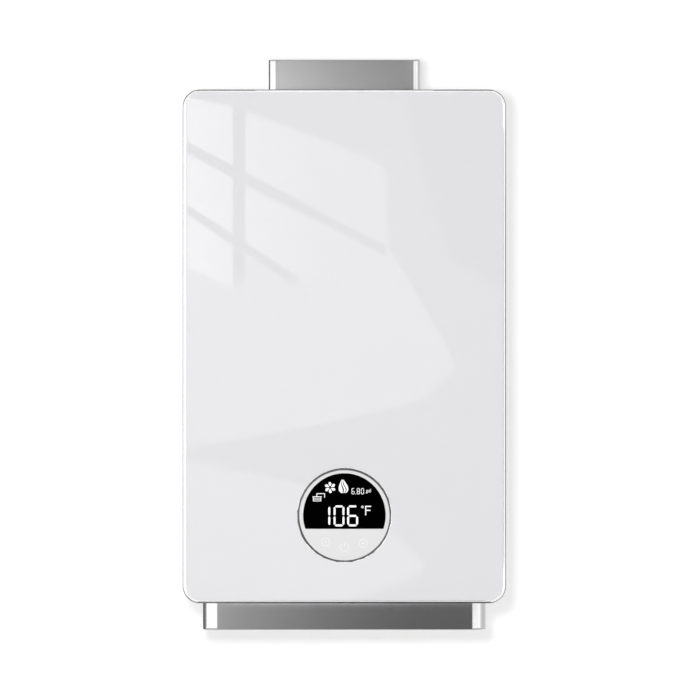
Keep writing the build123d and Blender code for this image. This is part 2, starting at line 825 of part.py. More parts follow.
# Angles on the back of the shell carry the flanges of the burner box and of the exchanger.
with BuildPart() as stack_brackets:
    for level in (burner_top - sheet, exchanger_top - sheet):
        with BuildSketch(facing(inside_back)):
            with Locations((-bracket_x, level), (bracket_x, level)):
                Rectangle(bracket_width, bracket_foot, align=(Align.CENTER, Align.MAX))
        extrude(amount=sheet)
        with BuildSketch(Plane.XY.offset(level - sheet)):
            with Locations((-bracket_x, inside_back), (bracket_x, inside_back)):
                Rectangle(bracket_width, bracket_reach, align=(Align.CENTER, Align.MAX))
        extrude(amount=sheet)
save(stack_brackets, "stack_brackets")

# ================================================================ blower
scroll_offset = 4.0
fan_x = blower_x - scroll_offset
fan_z = blower_z + scroll_offset / 2
fan_clear = 2.0
fan_front = blower_front + blower_sheet + fan_clear
fan_back = blower_back - blower_sheet - fan_clear
eye_radius = impeller_radius - eye_lip
duct_flange = 7.0
duct_rise = burner_floor - blower_z
nipple_shift = 10.0
nipple_x = duct_middle + nipple_shift
nipple_drop = 25.0
nipple_z = burner_floor - nipple_drop
nipple_radius = 2.5
nipple_length = 4.0
motor_bore = shaft_radius + running_gap
motor_plate = 2.5
motor_front = blower_front - motor_length
hub_radius = 8.0
hub_length = 14.0
blade_chord = 8.4
blade_sheet = 0.9
blade_pitch = 35.0
fan_plate = 1.5
blade_line = impeller_radius - blade_chord / 2 - fan_plate / 2

with BuildPart() as blower_housing:
    with BuildSketch(facing(blower_back)):
        with Locations((blower_x, blower_z)):
            Circle(scroll_radius)
        with Locations((duct_left, blower_z)):
            Rectangle(duct_width, duct_rise, align=(Align.MIN, Align.MIN))
    extrude(amount=blower_width)
    with BuildSketch(Plane.XY.offset(burner_floor - blower_sheet)):
        with Locations((duct_middle, blower_middle)):
            Rectangle(duct_width + 2 * duct_flange, blower_width + 2 * duct_flange)
    extrude(amount=blower_sheet)
    with BuildSketch(facing(blower_back + nipple_length)):
        with Locations((nipple_x, nipple_z)):
            Circle(nipple_radius)
    extrude(amount=nipple_length)
    with BuildSketch(facing(blower_back - blower_sheet)):
        with Locations((blower_x, blower_z)):
            Circle(scroll_radius - blower_sheet)
        with Locations((duct_left + blower_sheet, blower_z)):
            Rectangle(duct_width - 2 * blower_sheet, duct_rise, align=(Align.MIN, Align.MIN))
    extrude(amount=blower_width - 2 * blower_sheet, mode=Mode.SUBTRACT)
    with BuildSketch(facing(blower_back)):
        with Locations((fan_x, fan_z)):
            Circle(eye_radius)
    extrude(amount=blower_sheet, mode=Mode.SUBTRACT)
    with BuildSketch(facing(blower_front + blower_sheet)):
        with Locations((fan_x, fan_z)):
            Circle(hub_radius)
    extrude(amount=blower_sheet, mode=Mode.SUBTRACT)
    with BuildSketch(facing(blower_back + nipple_length)):
        with Locations((nipple_x, nipple_z)):
            Circle(nipple_radius / 2)
    extrude(amount=nipple_length + blower_sheet, mode=Mode.SUBTRACT)
save(blower_housing, "blower_housing")

with BuildPart() as impeller:
    with BuildSketch(facing(fan_front + fan_plate)):
        with Locations((fan_x, fan_z)):
            Circle(impeller_radius)
    extrude(amount=fan_plate)
    with BuildSketch(facing(fan_back)):
        with Locations((fan_x, fan_z)):
            with PolarLocations(blade_line, blade_count):
                Rectangle(blade_chord, blade_sheet, rotation=blade_pitch)
    extrude(amount=fan_back - fan_front)
    with BuildSketch(facing(fan_back)):
        with Locations((fan_x, fan_z)):
            Circle(impeller_radius)
            Circle(impeller_radius - blade_chord, mode=Mode.SUBTRACT)
    extrude(amount=fan_plate)
    with BuildSketch(facing(fan_front + hub_length)):
        with Locations((fan_x, fan_z)):
            Circle(hub_radius)
    extrude(amount=hub_length)
    with BuildSketch(facing(fan_back)):
        with Locations((fan_x, fan_z)):
            Circle(shaft_radius)
    extrude(amount=fan_back - fan_front, mode=Mode.SUBTRACT)
save(impeller, "impeller")

shaft_front = motor_front + 2 * motor_plate

with BuildPart() as motor_shaft:
    with BuildSketch(facing(fan_front + hub_length)):
        with Locations((fan_x, fan_z)):
            Circle(shaft_radius)
    extrude(amount=fan_front + hub_length - shaft_front)
save(motor_shaft, "motor_shaft")

cap_radius = 12.0
cap_length = 6.0
vent_width = 3.0
vent_length = 11.0
vent_count = 12

with BuildPart() as blower_motor:
    with BuildSketch(facing(blower_front)):
        with Locations((fan_x, fan_z)):
            Circle(motor_radius + 2 * motor_plate)
    extrude(amount=motor_plate)
    with BuildSketch(facing(blower_front)):
        with Locations((fan_x, fan_z)):
            Circle(motor_radius)
    extrude(amount=motor_length - cap_length)
    fillet(blower_motor.faces().sort_by(Axis.Y)[0].edges(), 2 * motor_plate)
    with BuildSketch(facing(blower_front)):
        with Locations((fan_x, fan_z)):
            Circle(cap_radius)
    extrude(amount=motor_length)
    with BuildSketch(facing(motor_front + 2 * cap_length)):
        with Locations((fan_x, fan_z)):
            with PolarLocations((cap_radius + motor_radius) / 2 - motor_plate / 2, vent_count):
                SlotOverall(vent_length, vent_width)
    extrude(amount=cap_length, mode=Mode.SUBTRACT)
    with BuildSketch(facing(blower_front)):
        with Locations((fan_x, fan_z)):
            Circle(motor_bore)
    extrude(amount=blower_front - shaft_front + motor_plate, mode=Mode.SUBTRACT)
save(blower_motor, "blower_motor")


# ================================================================ gas valve and pipe
def port(x, top):
    """A connection that stands in the floor plate: thread below, hexagon on the plate, neck above."""
    with BuildPart() as body:
        with BuildSketch(Plane.XY.offset(thread_end)):
            with Locations((x, port_y)):
                Circle(thread_radius)
        extrude(amount=thread_length)
        with BuildSketch(Plane.XY.offset(thread_end + thread_length)):
            with Locations((x, port_y)):
                Circle(thread_radius + collar_step)
        extrude(amount=floor_top - thread_end - thread_length)
        with BuildSketch(Plane.XY.offset(floor_top)):
            with Locations((x, port_y)):
                RegularPolygon(hex_across / 2, 6, major_radius=False)
        extrude(amount=hex_height)
        with BuildSketch(Plane.XY.offset(floor_top + hex_height)):
            with Locations((x, port_y)):
                Circle(thread_radius)
        extrude(amount=top - floor_top - hex_height)
        with BuildSketch(Plane.XY.offset(thread_end)):
            with Locations((x, port_y)):
                Circle(port_bore)
        extrude(amount=top - thread_end, mode=Mode.SUBTRACT)
    return body.part


gas_inlet = port(gas_x, valve_bottom)
with BuildPart() as gas_inlet_union:
    add(gas_inlet)
save(gas_inlet_union, "gas_inlet_union")

valve_front = port_y - valve_width / 2
seat_y = valve_front + chamber_depth
valve_top = valve_bottom + valve_height
shutoff_z = valve_bottom + valve_height / 4
modulator_z = valve_bottom + 3 * valve_height / 4
gallery_y = seat_y + 12.0
gallery_radius = 5.0
outlet_y = valve_front + 12.0
outlet_radius = 4.5
inlet_y = seat_y - 3.0

# Gas enters the lower chamber, passes its seat into the gallery behind, and leaves by the upper chamber.
with BuildPart() as gas_valve_body:
    with BuildSketch(Plane.XY.offset(valve_bottom)):
        with Locations((gas_x, port_y)):
            RectangleRounded(valve_width, valve_width, valve_width / 14)
    extrude(amount=valve_height)
    with BuildSketch(facing(seat_y)):
        with Locations((gas_x, shutoff_z), (gas_x, modulator_z)):
            Circle(chamber_radius)
    extrude(amount=chamber_depth, mode=Mode.SUBTRACT)
    with BuildSketch(facing(gallery_y)):
        with Locations((gas_x, shutoff_z), (gas_x, modulator_z)):
            Circle(seat_radius - 2 * fit_gap)
    extrude(amount=gallery_y - seat_y, mode=Mode.SUBTRACT)
    with BuildSketch(Plane.XY.offset(shutoff_z - gallery_radius)):
        with Locations((gas_x, gallery_y)):
            Circle(gallery_radius)
    extrude(amount=modulator_z - shutoff_z + 2 * gallery_radius, mode=Mode.SUBTRACT)
    with BuildSketch(Plane.XY.offset(valve_bottom)):
        with Locations((gas_x, inlet_y)):
            Circle(outlet_radius)
    extrude(amount=shutoff_z - chamber_radius - valve_bottom + 2 * sheet, mode=Mode.SUBTRACT)
    with BuildSketch(Plane.XY.offset(modulator_z)):
        with Locations((gas_x, outlet_y)):
            Circle(outlet_radius)
    extrude(amount=valve_top - modulator_z, mode=Mode.SUBTRACT)
save(gas_valve_body, "gas_valve_body")

plunger_bore = plunger_radius + running_gap
rod_back = seat_y - disc_height
rod_length = 31.0
bore_front = rod_back - rod_length - 2 * valve_stroke
spring_radius = 6.2
spring_wire = 0.6
spring_turns = 5


def solenoid(z):
    """A coil on a square plate that closes a valve chamber, with a blind bore for its plunger."""
    with BuildPart() as coil:
        with BuildSketch(facing(valve_front)):
            with Locations((gas_x, z)):
                RectangleRounded(2 * solenoid_radius, 2 * solenoid_radius, solenoid_radius / 4)
        extrude(amount=solenoid_plate)
        with BuildSketch(facing(valve_front - solenoid_plate)):
            with Locations((gas_x, z)):
                Circle(solenoid_radius - sheet)
        extrude(amount=valve_front - solenoid_plate - solenoid_clear - inside_front)
        fillet(coil.faces().sort_by(Axis.Y)[0].edges(), 2 * sheet)
        with BuildSketch(facing(valve_front)):
            with Locations((gas_x, z)):
                Circle(plunger_bore)
        extrude(amount=valve_front - bore_front, mode=Mode.SUBTRACT)
    return coil.part


def plunger(z):
    """A valve disc on its seat with the rod that the coil pulls."""
    with BuildPart() as moving:
        with BuildSketch(facing(seat_y)):
            with Locations((gas_x, z)):
                Circle(disc_radius)
        extrude(amount=disc_height)
        with BuildSketch(facing(rod_back)):
            with Locations((gas_x, z)):
                Circle(plunger_radius)
        extrude(amount=rod_length)
    return moving.part


def return_spring(z):
    """The coil spring between the plunger's disc and the solenoid's plate."""
    span = rod_back - valve_front - 2 * spring_wire
    with BuildPart() as spring:
        with BuildLine() as route:
            Helix(
                span / spring_turns,
                span,
                spring_radius,
                center=(gas_x, rod_back - spring_wire, z),
                direction=(0, -1, 0),
            )
        with BuildSketch(Plane(origin=route.line @ 0, z_dir=route.line % 0)):
            Circle(spring_wire)
        sweep(is_frenet=True)
    return spring.part


shutoff_solenoid = solenoid(shutoff_z)
modulator_solenoid = solenoid(modulator_z)
shutoff_moving = plunger(shutoff_z)
modulator_moving = plunger(modulator_z)
shutoff_return = return_spring(shutoff_z)
modulator_return = return_spring(modulator_z)

with BuildPart() as shutoff_coil:
    add(shutoff_solenoid)
save(shutoff_coil, "shutoff_coil")

with BuildPart() as modulator_coil:
    add(modulator_solenoid)
save(modulator_coil, "modulator_coil")

with BuildPart() as shutoff_plunger:
    add(shutoff_moving)
save(shutoff_plunger, "shutoff_plunger")

with BuildPart() as modulator_plunger:
    add(modulator_moving)
save(modulator_plunger, "modulator_plunger")

with BuildPart() as shutoff_spring:
    add(shutoff_return)
save(shutoff_spring, "shutoff_spring")

with BuildPart() as modulator_spring:
    add(modulator_return)
save(modulator_spring, "modulator_spring")

rail_low = nozzle_z - manifold_height / 2
pipe_run = 24.0
bend = 12.0
gas_pipe = round_pipe(
    [
        (gas_x, outlet_y, valve_top),
        (gas_x, outlet_y, valve_top + pipe_run),
        (gas_x, rail_mid, rail_low - pipe_run),
        (gas_x, rail_mid, rail_low),
    ],
    bend,
    pipe_radius,
    pipe_wall,
)
save(gas_pipe, "gas_pipe")

# ================================================================ water
housing_radius = 16.0
housing_low = 58.0
housing_height = 38.0
rotor_room = 12.0
rotor_floor = 4.0
cap_height = 4.0
cap_neck = 8.0
cap_neck_height = 7.0
branch_z = 49.0
pin_radius = 1.5
pin_length = 31.0
rotor_height = 20.0
rotor_lift = 4.0
rotor_hub = 4.0
vane_sheet = 1.2
vane_count = 6
vane_tilt = 30.0
housing_top = housing_low + housing_height
cap_top = housing_top + cap_height
neck_top = cap_top + cap_neck_height
drain_x = cold_x - drain_offset

cold_port = port(cold_x, housing_low)

with BuildPart() as cold_inlet_body:
    add(cold_port)
    with BuildSketch(Plane.XY.offset(housing_low)):
        with Locations((cold_x, port_y)):
            Circle(housing_radius)
    extrude(amount=housing_height)
    with BuildSketch(Plane.YZ.offset(drain_x)):
        with Locations((port_y, branch_z)):
            Circle(drain_radius - fit_gap)
    extrude(amount=drain_offset)
    with BuildSketch(Plane.XY.offset(drain_end)):
        with Locations((drain_x, port_y)):
            Circle(drain_radius)
    extrude(amount=branch_z + drain_radius - drain_end)
    with BuildSketch(Plane.XY.offset(thread_end)):
        with Locations((cold_x, port_y)):
            Circle(port_bore)
    extrude(amount=housing_top - thread_end, mode=Mode.SUBTRACT)
    with BuildSketch(Plane.XY.offset(housing_low + rotor_floor)):
        with Locations((cold_x, port_y)):
            Circle(rotor_room)
    extrude(amount=housing_height, mode=Mode.SUBTRACT)
    with BuildSketch(Plane.YZ.offset(drain_x)):
        with Locations((port_y, branch_z)):
            Circle(drain_bore - fit_gap)
    extrude(amount=drain_offset, mode=Mode.SUBTRACT)
    with BuildSketch(Plane.XY.offset(drain_end)):
        with Locations((drain_x, port_y)):
            Circle(drain_bore)
    extrude(amount=branch_z - drain_end, mode=Mode.SUBTRACT)
save(cold_inlet_body, "cold_inlet_body")

with BuildPart() as flow_sensor_cap:
    with BuildSketch(Plane.XY.offset(housing_top)):
        with Locations((cold_x, port_y)):
            Circle(housing_radius)
    extrude(amount=cap_height)
    with BuildSketch(Plane.XY.offset(cap_top)):
        with Locations((cold_x, port_y)):
            Circle(cap_neck)
    extrude(amount=cap_neck_height)
    with BuildSketch(Plane.XY.offset(housing_top)):
        with Locations((cold_x, port_y)):
            Circle(pipe_radius - pipe_wall)
    extrude(amount=cap_height + cap_neck_height, mode=Mode.SUBTRACT)
    with BuildSketch(Plane.XY.offset(housing_top)):
        with Locations((cold_x, port_y)):
            Rectangle(2 * pipe_radius, pin_radius)
            Rectangle(pin_radius, 2 * pipe_radius)
            Circle(pin_radius)
    extrude(amount=cap_height)
    with BuildSketch(Plane.XY.offset(cap_top)):
        with Locations((cold_x, port_y)):
            Circle(pin_radius)
    extrude(amount=-pin_length)
save(flow_sensor_cap, "flow_sensor_cap")

rotor_low = housing_low + rotor_floor + rotor_lift

with BuildPart() as flow_rotor:
    with Locations((cold_x, port_y, rotor_low + rotor_height / 2)):
        with PolarLocations((rotor_room + rotor_hub) / 2 - sheet, vane_count):
            Box(rotor_room - rotor_hub, vane_sheet, rotor_height, rotation=(vane_tilt, 0, 0))
    with BuildSketch(Plane.XY.offset(rotor_low)):
        with Locations((cold_x, port_y)):
            Circle(rotor_hub)
    extrude(amount=rotor_height)
    with BuildSketch(Plane.XY.offset(rotor_low)):
        with Locations((cold_x, port_y)):
            Circle(rotor_room - sheet)
    extrude(amount=rotor_height, mode=Mode.INTERSECT)
    with BuildSketch(Plane.XY.offset(rotor_low)):
        with Locations((cold_x, port_y)):
            Circle(pin_radius + running_gap)
    extrude(amount=rotor_height, mode=Mode.SUBTRACT)
save(flow_rotor, "flow_rotor")

filter_low = thread_end + 2.0
filter_height = 18.0
filter_wall = 0.8
filter_slots = 8
filter_radius = port_bore - running_gap

with BuildPart() as inlet_filter:
    with BuildSketch(Plane.XY.offset(filter_low)):
        with Locations((cold_x, port_y)):
            Circle(filter_radius)
    extrude(amount=filter_height)
    with BuildSketch(Plane.XY.offset(filter_low)):
        with Locations((cold_x, port_y)):
            Circle(filter_radius - filter_wall)
    extrude(amount=filter_height - filter_wall, mode=Mode.SUBTRACT)
    with BuildSketch(Plane.XY.offset(filter_low + 2 * filter_wall)):
        with Locations((cold_x, port_y)):
            with PolarLocations(filter_radius, filter_slots):
                Rectangle(2 * filter_wall + sheet, sheet)
    extrude(amount=filter_height - 4 * filter_wall, mode=Mode.SUBTRACT)
save(inlet_filter, "inlet_filter")

cap_floor = 5.0
cap_grip = 9.0
cap_gap = 0.5  # between the knob and the end of the cock
cap_flutes = 12
drain_room = drain_travel
thread_gap = 0.08
cap_low = drain_end - drain_room - cap_floor
plug_length = 26.0

# The knob turns below the end of the cock and carries the plug down and up with it.
with BuildPart() as drain_plug:
    with BuildSketch(Plane.XY.offset(drain_end - drain_room + running_gap)):
        with Locations((drain_x, port_y)):
            Circle(drain_radius - 6 * thread_gap)
    extrude(amount=drain_room - 2 * running_gap)
    with BuildSketch(Plane.XY.offset(drain_end - running_gap)):
        with Locations((drain_x, port_y)):
            Circle(drain_bore - thread_gap)
    extrude(amount=plug_length)
save(drain_plug, "drain_plug")

with BuildPart() as drain_cap:
    with BuildSketch(Plane.XY.offset(cap_low)):
        with Locations((drain_x, port_y)):
            Circle(cap_grip)
            with PolarLocations(cap_grip + sheet / 2, cap_flutes):
                Circle(sheet, mode=Mode.SUBTRACT)
    extrude(amount=cap_floor + drain_room - cap_gap)
    with BuildSketch(Plane.XY.offset(cap_low + cap_floor)):
        with Locations((drain_x, port_y)):
            Circle(drain_radius + thread_gap)
    extrude(amount=drain_room, mode=Mode.SUBTRACT)
    with BuildSketch(Plane.XY.offset(cap_low)):
        with Locations((drain_x, port_y)):
            Circle(sheet)
    extrude(amount=cap_floor, mode=Mode.SUBTRACT)
save(drain_cap, "drain_cap")

hot_top = 66.0
hot_port = port(hot_x, hot_top)
with BuildPart() as hot_outlet_union:
    add(hot_port)
save(hot_outlet_union, "hot_outlet_union")

coil_lift = 38.0
coil_low = exchanger_base + coil_lift
coil_rise = 25.0
coil_front = stack_y - coil_y
coil_back = stack_y + coil_y
drop_z = burner_floor + 2 * pipe_radius
cold_pipe = round_pipe(
    [
        (cold_x, port_y, neck_top),
        (cold_x, port_y, coil_low),
        (cold_x, coil_front, coil_low),
        (-coil_x, coil_front, coil_low),
        (-coil_x, coil_back, coil_low + coil_rise),
        (coil_x, coil_back, coil_low + coil_rise),
        (coil_x, coil_front, coil_low + 2 * coil_rise),
        (hot_x, coil_front, coil_low + 2 * coil_rise),
        (hot_x, tube_rows[0], fin_z),
        (-tube_end, tube_rows[0], fin_z),
    ],
    bend,
    pipe_radius,
    pipe_wall,
)
save(cold_pipe, "cold_pipe")

hot_pipe = round_pipe(
    [
        (-tube_end, tube_rows[-1], fin_z),
        (hot_x, tube_rows[-1], fin_z),
        (hot_x, tube_rows[-1], drop_z),
        (hot_x, port_y, drop_z - 2 * bend),
        (hot_x, port_y, hot_top),
    ],
    bend,
    pipe_radius,
    pipe_wall,
)
save(hot_pipe, "hot_pipe")

# ================================================================ electrics
gland_grip = 9.0
gland_length = 8.0
gland_nut = 5.0
cord_radius = 3.5

with BuildPart() as cord_gland:
    with BuildSketch(Plane.XY.offset(floor_height - gland_length)):
        with Locations((gland_x, port_y)):
            Circle(gland_grip)
    extrude(amount=gland_length)
    fillet(cord_gland.faces().sort_by(Axis.Z)[0].edges(), gland_length / 4)
    with BuildSketch(Plane.XY.offset(floor_height)):
        with Locations((gland_x, port_y)):
            Circle(gland_radius - fit_gap)
    extrude(amount=sheet)
    with BuildSketch(Plane.XY.offset(floor_top)):
        with Locations((gland_x, port_y)):
            RegularPolygon(gland_grip, 6)
    extrude(amount=gland_nut)
    with BuildSketch(Plane.XY.offset(floor_height - gland_length)):
        with Locations((gland_x, port_y)):
            Circle(cord_radius)
    extrude(amount=gland_length + sheet + gland_nut, mode=Mode.SUBTRACT)
save(cord_gland, "cord_gland")

box_wall = 1.5
box_thick = 25.0
box_drop = 243.0  # box floor below the chassis top
box_height = 165.0
box_front_gap = 14.0
box_back_gap = 18.0
box_low = chassis_top - box_drop
box_front_y = inside_front + box_front_gap
box_back_y = inside_back - box_back_gap
box_x = -inside_side
box_mid_y = (box_front_y + box_back_y) / 2
box_mid_z = box_low + box_height / 2
box_depth_y = box_back_y - box_front_y
peg_radius = 3.0
peg_height = 5.0
peg_inset = 8.0

with BuildPart() as control_box:
    with BuildSketch(Plane.YZ.offset(box_x)):
        with Locations((box_mid_y, box_mid_z)):
            RectangleRounded(box_depth_y, box_height, 2 * box_wall)
    extrude(amount=box_thick)
    with BuildSketch(Plane.YZ.offset(box_x + box_wall)):
        with Locations((box_mid_y, box_mid_z)):
            RectangleRounded(box_depth_y - 2 * box_wall, box_height - 2 * box_wall, box_wall)
    extrude(amount=box_thick, mode=Mode.SUBTRACT)
    with BuildSketch(Plane.YZ.offset(box_x)):
        with Locations((box_mid_y, box_mid_z)):
            with GridLocations(box_depth_y - 2 * peg_inset, box_height - 2 * peg_inset, 2, 2):
                Circle(peg_radius)
    extrude(amount=box_wall + peg_height)
save(control_box, "control_box")

relay = (16.0, 12.0, 11.0)
capacitor_radius = 6.0
capacitor_height = 14.0
board_x = box_x + box_wall + peg_height

with BuildPart() as control_board:
    with BuildSketch(Plane.YZ.offset(board_x)):
        with Locations((box_mid_y, box_mid_z)):
            Rectangle(box_depth_y - 4 * box_wall, box_height - 4 * box_wall)
    extrude(amount=board)
    with BuildSketch(Plane.YZ.offset(board_x + board)):
        with Locations((box_mid_y, box_mid_z + box_height / 4)):
            with GridLocations(1.5 * relay[0], 1.5 * relay[1], 3, 3):
                Rectangle(relay[0], relay[1])
    extrude(amount=relay[2])
    with BuildSketch(Plane.YZ.offset(board_x + board)):
        with Locations((box_mid_y, box_mid_z - box_height / 4)):
            with GridLocations(4 * capacitor_radius, 4 * capacitor_radius, 3, 2):
                Circle(capacitor_radius)
    extrude(amount=capacitor_height)
save(control_board, "control_board")

with BuildPart() as control_lid:
    with BuildSketch(Plane.YZ.offset(box_x + box_thick)):
        with Locations((box_mid_y, box_mid_z)):
            RectangleRounded(box_depth_y, box_height, 2 * box_wall)
    extrude(amount=box_wall)
    with BuildSketch(Plane.YZ.offset(box_x + box_thick)):
        with Locations((box_mid_y, box_mid_z)):
            RectangleRounded(
                box_depth_y - 2 * box_wall - fit_gap, box_height - 2 * box_wall - fit_gap, box_wall
            )
            RectangleRounded(
                box_depth_y - 4 * box_wall, box_height - 4 * box_wall, box_wall, mode=Mode.SUBTRACT
            )
    extrude(amount=-2 * box_wall)
save(control_lid, "control_lid")

igniter_z = 100.0
igniter_pitch = 44.0  # to the pressure switch's line
switch_inset = 32.8
switch_x = inside_side - switch_inset
igniter_x = switch_x - igniter_pitch
igniter_size = (50.0, 40.0)
igniter_thick = 20.0
terminal_radius = 4.0
terminal_height = 8.0

with BuildPart() as igniter_module:
    with BuildSketch(facing(inside_back)):
        with Locations((igniter_x, igniter_z)):
            RectangleRounded(*igniter_size, 2 * box_wall)
    extrude(amount=igniter_thick)
    fillet(igniter_module.faces().sort_by(Axis.Y)[0].edges(), box_wall)
    with BuildSketch(Plane.XY.offset(igniter_z + igniter_size[1] / 2)):
        with Locations((igniter_x, inside_back - igniter_thick / 2)):
            with GridLocations(6 * terminal_radius, 0, 2, 1):
                Circle(terminal_radius)
                Circle(terminal_radius / 3, mode=Mode.SUBTRACT)
    extrude(amount=terminal_height)
save(igniter_module, "igniter_module")

switch_drop = 48.0
switch_z = chassis_top - switch_drop
switch_radius = 22.0
switch_body = 10.0
switch_stem = 6.0
switch_y = inside_back - switch_stem
hose_radius = 3.5
hose_wall = hose_radius - nipple_radius

with BuildPart() as pressure_switch:
    with BuildSketch(facing(inside_back)):
        with Locations((switch_x, switch_z)):
            Circle(switch_radius - switch_stem)
    extrude(amount=switch_stem)
    with BuildSketch(facing(switch_y)):
        with Locations((switch_x, switch_z)):
            Circle(switch_radius)
    extrude(amount=switch_body)
    with BuildSketch(facing(switch_y - switch_body)):
        with Locations((switch_x, switch_z)):
            Circle(switch_radius / 2)
    extrude(amount=switch_stem)
    with BuildSketch(Plane.XY.offset(switch_z - switch_radius - nipple_length)):
        with Locations((switch_x, switch_y - switch_body / 2)):
            Circle(nipple_radius)
    extrude(amount=2 * nipple_length)
save(pressure_switch, "pressure_switch")

pressure_hose = round_pipe(
    [
        (switch_x, switch_y - switch_body / 2, switch_z - switch_radius),
        (switch_x, switch_y - switch_body / 2, nipple_z),
        (nipple_x, switch_y - switch_body / 2, nipple_z),
        (nipple_x, blower_back, nipple_z),
    ],
    bend - 2 * sheet,
    hose_radius,
    hose_wall,
)
save(pressure_hose, "pressure_hose")


# ================================================================ screws
def screw(length):
    """A pan-head screw with its head above the origin and its shank below."""
    with BuildPart() as body:
        with BuildSketch():
            Circle(screw_head_radius)
        extrude(amount=screw_head_height)
        fillet(body.faces().sort_by(Axis.Z)[-1].edges(), screw_head_height / 2)
        with BuildSketch():
            Circle(screw_radius)
        extrude(amount=-length)
        with BuildSketch(Plane.XY.offset(screw_head_height - screw_recess)):
            Rectangle(screw_head_radius, screw_head_radius / 4)
            Rectangle(screw_head_radius / 4, screw_head_radius)
        extrude(amount=screw_recess, mode=Mode.SUBTRACT)
    return body.part


pan_screw = screw(screw_length)
side_places = [
    Plane(origin=(side * chassis_width / 2, lap_middle, z), z_dir=(side, 0, 0))
    for side in (-1, 1)
    for z in cover_screw_heights
]
panel_places = [
    Plane(
        origin=(side * panel_screw_x, chassis_front + sheet, panel_mid + end * panel_screw_z), z_dir=(0, 1, 0)
    )
    for side in (-1, 1)
    for end in (-1, 1)
]

with BuildPart() as cover_screws:
    with Locations(*side_places):
        add(pan_screw)
save(cover_screws, "cover_screws")

with BuildPart() as panel_screws:
    with Locations(*panel_places):
        add(pan_screw)
save(panel_screws, "panel_screws")

with BuildPart() as hood_screws:
    with Locations((0, stack_y, hood_base + sheet)):
        with GridLocations(2 * hood_screw_x, 2 * hood_screw_y, 2, 2):
            add(pan_screw)
save(hood_screws, "hood_screws")
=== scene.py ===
"""Dresses the wall-hung gas water heater: finished surfaces over its solid model, and a plain studio."""

import bmesh
import bpy
import numpy as np
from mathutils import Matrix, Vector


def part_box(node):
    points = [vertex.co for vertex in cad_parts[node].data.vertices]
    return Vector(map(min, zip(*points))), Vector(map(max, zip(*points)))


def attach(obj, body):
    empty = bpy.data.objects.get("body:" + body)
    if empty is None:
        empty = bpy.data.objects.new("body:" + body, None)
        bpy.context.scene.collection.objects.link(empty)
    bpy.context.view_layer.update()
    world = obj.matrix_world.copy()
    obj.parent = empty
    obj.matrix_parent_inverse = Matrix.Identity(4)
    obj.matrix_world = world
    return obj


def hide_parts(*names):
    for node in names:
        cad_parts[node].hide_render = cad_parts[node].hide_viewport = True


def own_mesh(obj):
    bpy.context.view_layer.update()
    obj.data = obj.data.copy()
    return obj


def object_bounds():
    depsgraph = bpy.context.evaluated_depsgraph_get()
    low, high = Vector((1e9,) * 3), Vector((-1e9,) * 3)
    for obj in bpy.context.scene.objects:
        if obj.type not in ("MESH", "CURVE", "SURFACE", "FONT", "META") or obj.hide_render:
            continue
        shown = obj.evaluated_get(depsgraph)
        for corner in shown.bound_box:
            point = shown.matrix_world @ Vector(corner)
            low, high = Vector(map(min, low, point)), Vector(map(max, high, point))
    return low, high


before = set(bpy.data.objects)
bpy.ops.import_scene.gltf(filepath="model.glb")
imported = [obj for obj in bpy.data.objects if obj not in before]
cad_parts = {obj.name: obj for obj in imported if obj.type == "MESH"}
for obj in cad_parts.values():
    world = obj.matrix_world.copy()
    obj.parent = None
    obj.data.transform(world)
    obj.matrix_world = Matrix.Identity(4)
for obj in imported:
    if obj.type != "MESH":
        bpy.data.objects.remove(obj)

bl_info = {
    "name": "Wall-hung Water Heater",
    "version": (1, 0, 0),
    "blender": (4, 5, 0),
    "location": "3D View > Sidebar > Heater",
    "description": "Builds the finished surfaces of a wall-hung gas water heater and its studio",
    "category": "Object",
}

cad_box = [list(corner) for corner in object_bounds()]
MM = 0.001
QUARTER = np.pi / 2
SIXTH = np.pi / 3
TURN = 2 * np.pi
MERGED_WITHIN = 0.002 * MM
SLIVER = 0.0001 * MM
TINY = 1e-6


def middle_of(node):
    """Middle of a solid's box, in metres."""
    low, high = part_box(node)
    return (np.array(low) + np.array(high)) / 2


def size_of(node):
    """Size of a solid's box, in metres."""
    low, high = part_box(node)
    return np.array(high) - np.array(low)


PANEL_MIDDLE = middle_of("glass_panel")
DISPLAY_MIDDLE = middle_of("display_ring")
HOOD_MIDDLE = middle_of("flue_hood")


# ---------------------------------------------------------------- sizes and colours
def length(name, words, value):
    """A length that the sidebar shows in scene units."""
    return bpy.props.FloatProperty(
        name=name, description=words, default=value, min=0, subtype="DISTANCE", unit="LENGTH", precision=5
    )


def colour(name, words, value):
    """A colour that the sidebar shows as a swatch."""
    return bpy.props.FloatVectorProperty(
        name=name, description=words, default=value, min=0, max=1, size=3, subtype="COLOR"
    )


def level(name, words, value):
    """A plain number without a unit."""
    return bpy.props.FloatProperty(name=name, description=words, default=value, min=0)


def digits(name, words, value):
    """A short row of digits."""
    return bpy.props.StringProperty(name=name, description=words, default=value)


class HeaterPanelSettings(bpy.types.PropertyGroup):
    """Glass panel and its tray."""

    bevel: length("Bevel", "Width of the polished bevel round the glass", 1.7 * MM)
    corner: length("Corner", "Radius of the glass panel's corners", 16.8 * MM)
    tray_corner: length("Tray corner", "Radius of the tray's corners", 18 * MM)
    face: colour("Face", "Colour of the enamel behind the glass", (0.80, 0.793, 0.812))
    # The bevel is polished glass like the face; its near-white colour and mirror finish are a painted
    # highlight, so it shows as a bright band.
    edge: colour("Edge", "Colour of the polished bevel", (0.97, 0.97, 0.975))
    tray: colour("Tray", "Colour of the tray round the glass", (0.30, 0.30, 0.305))


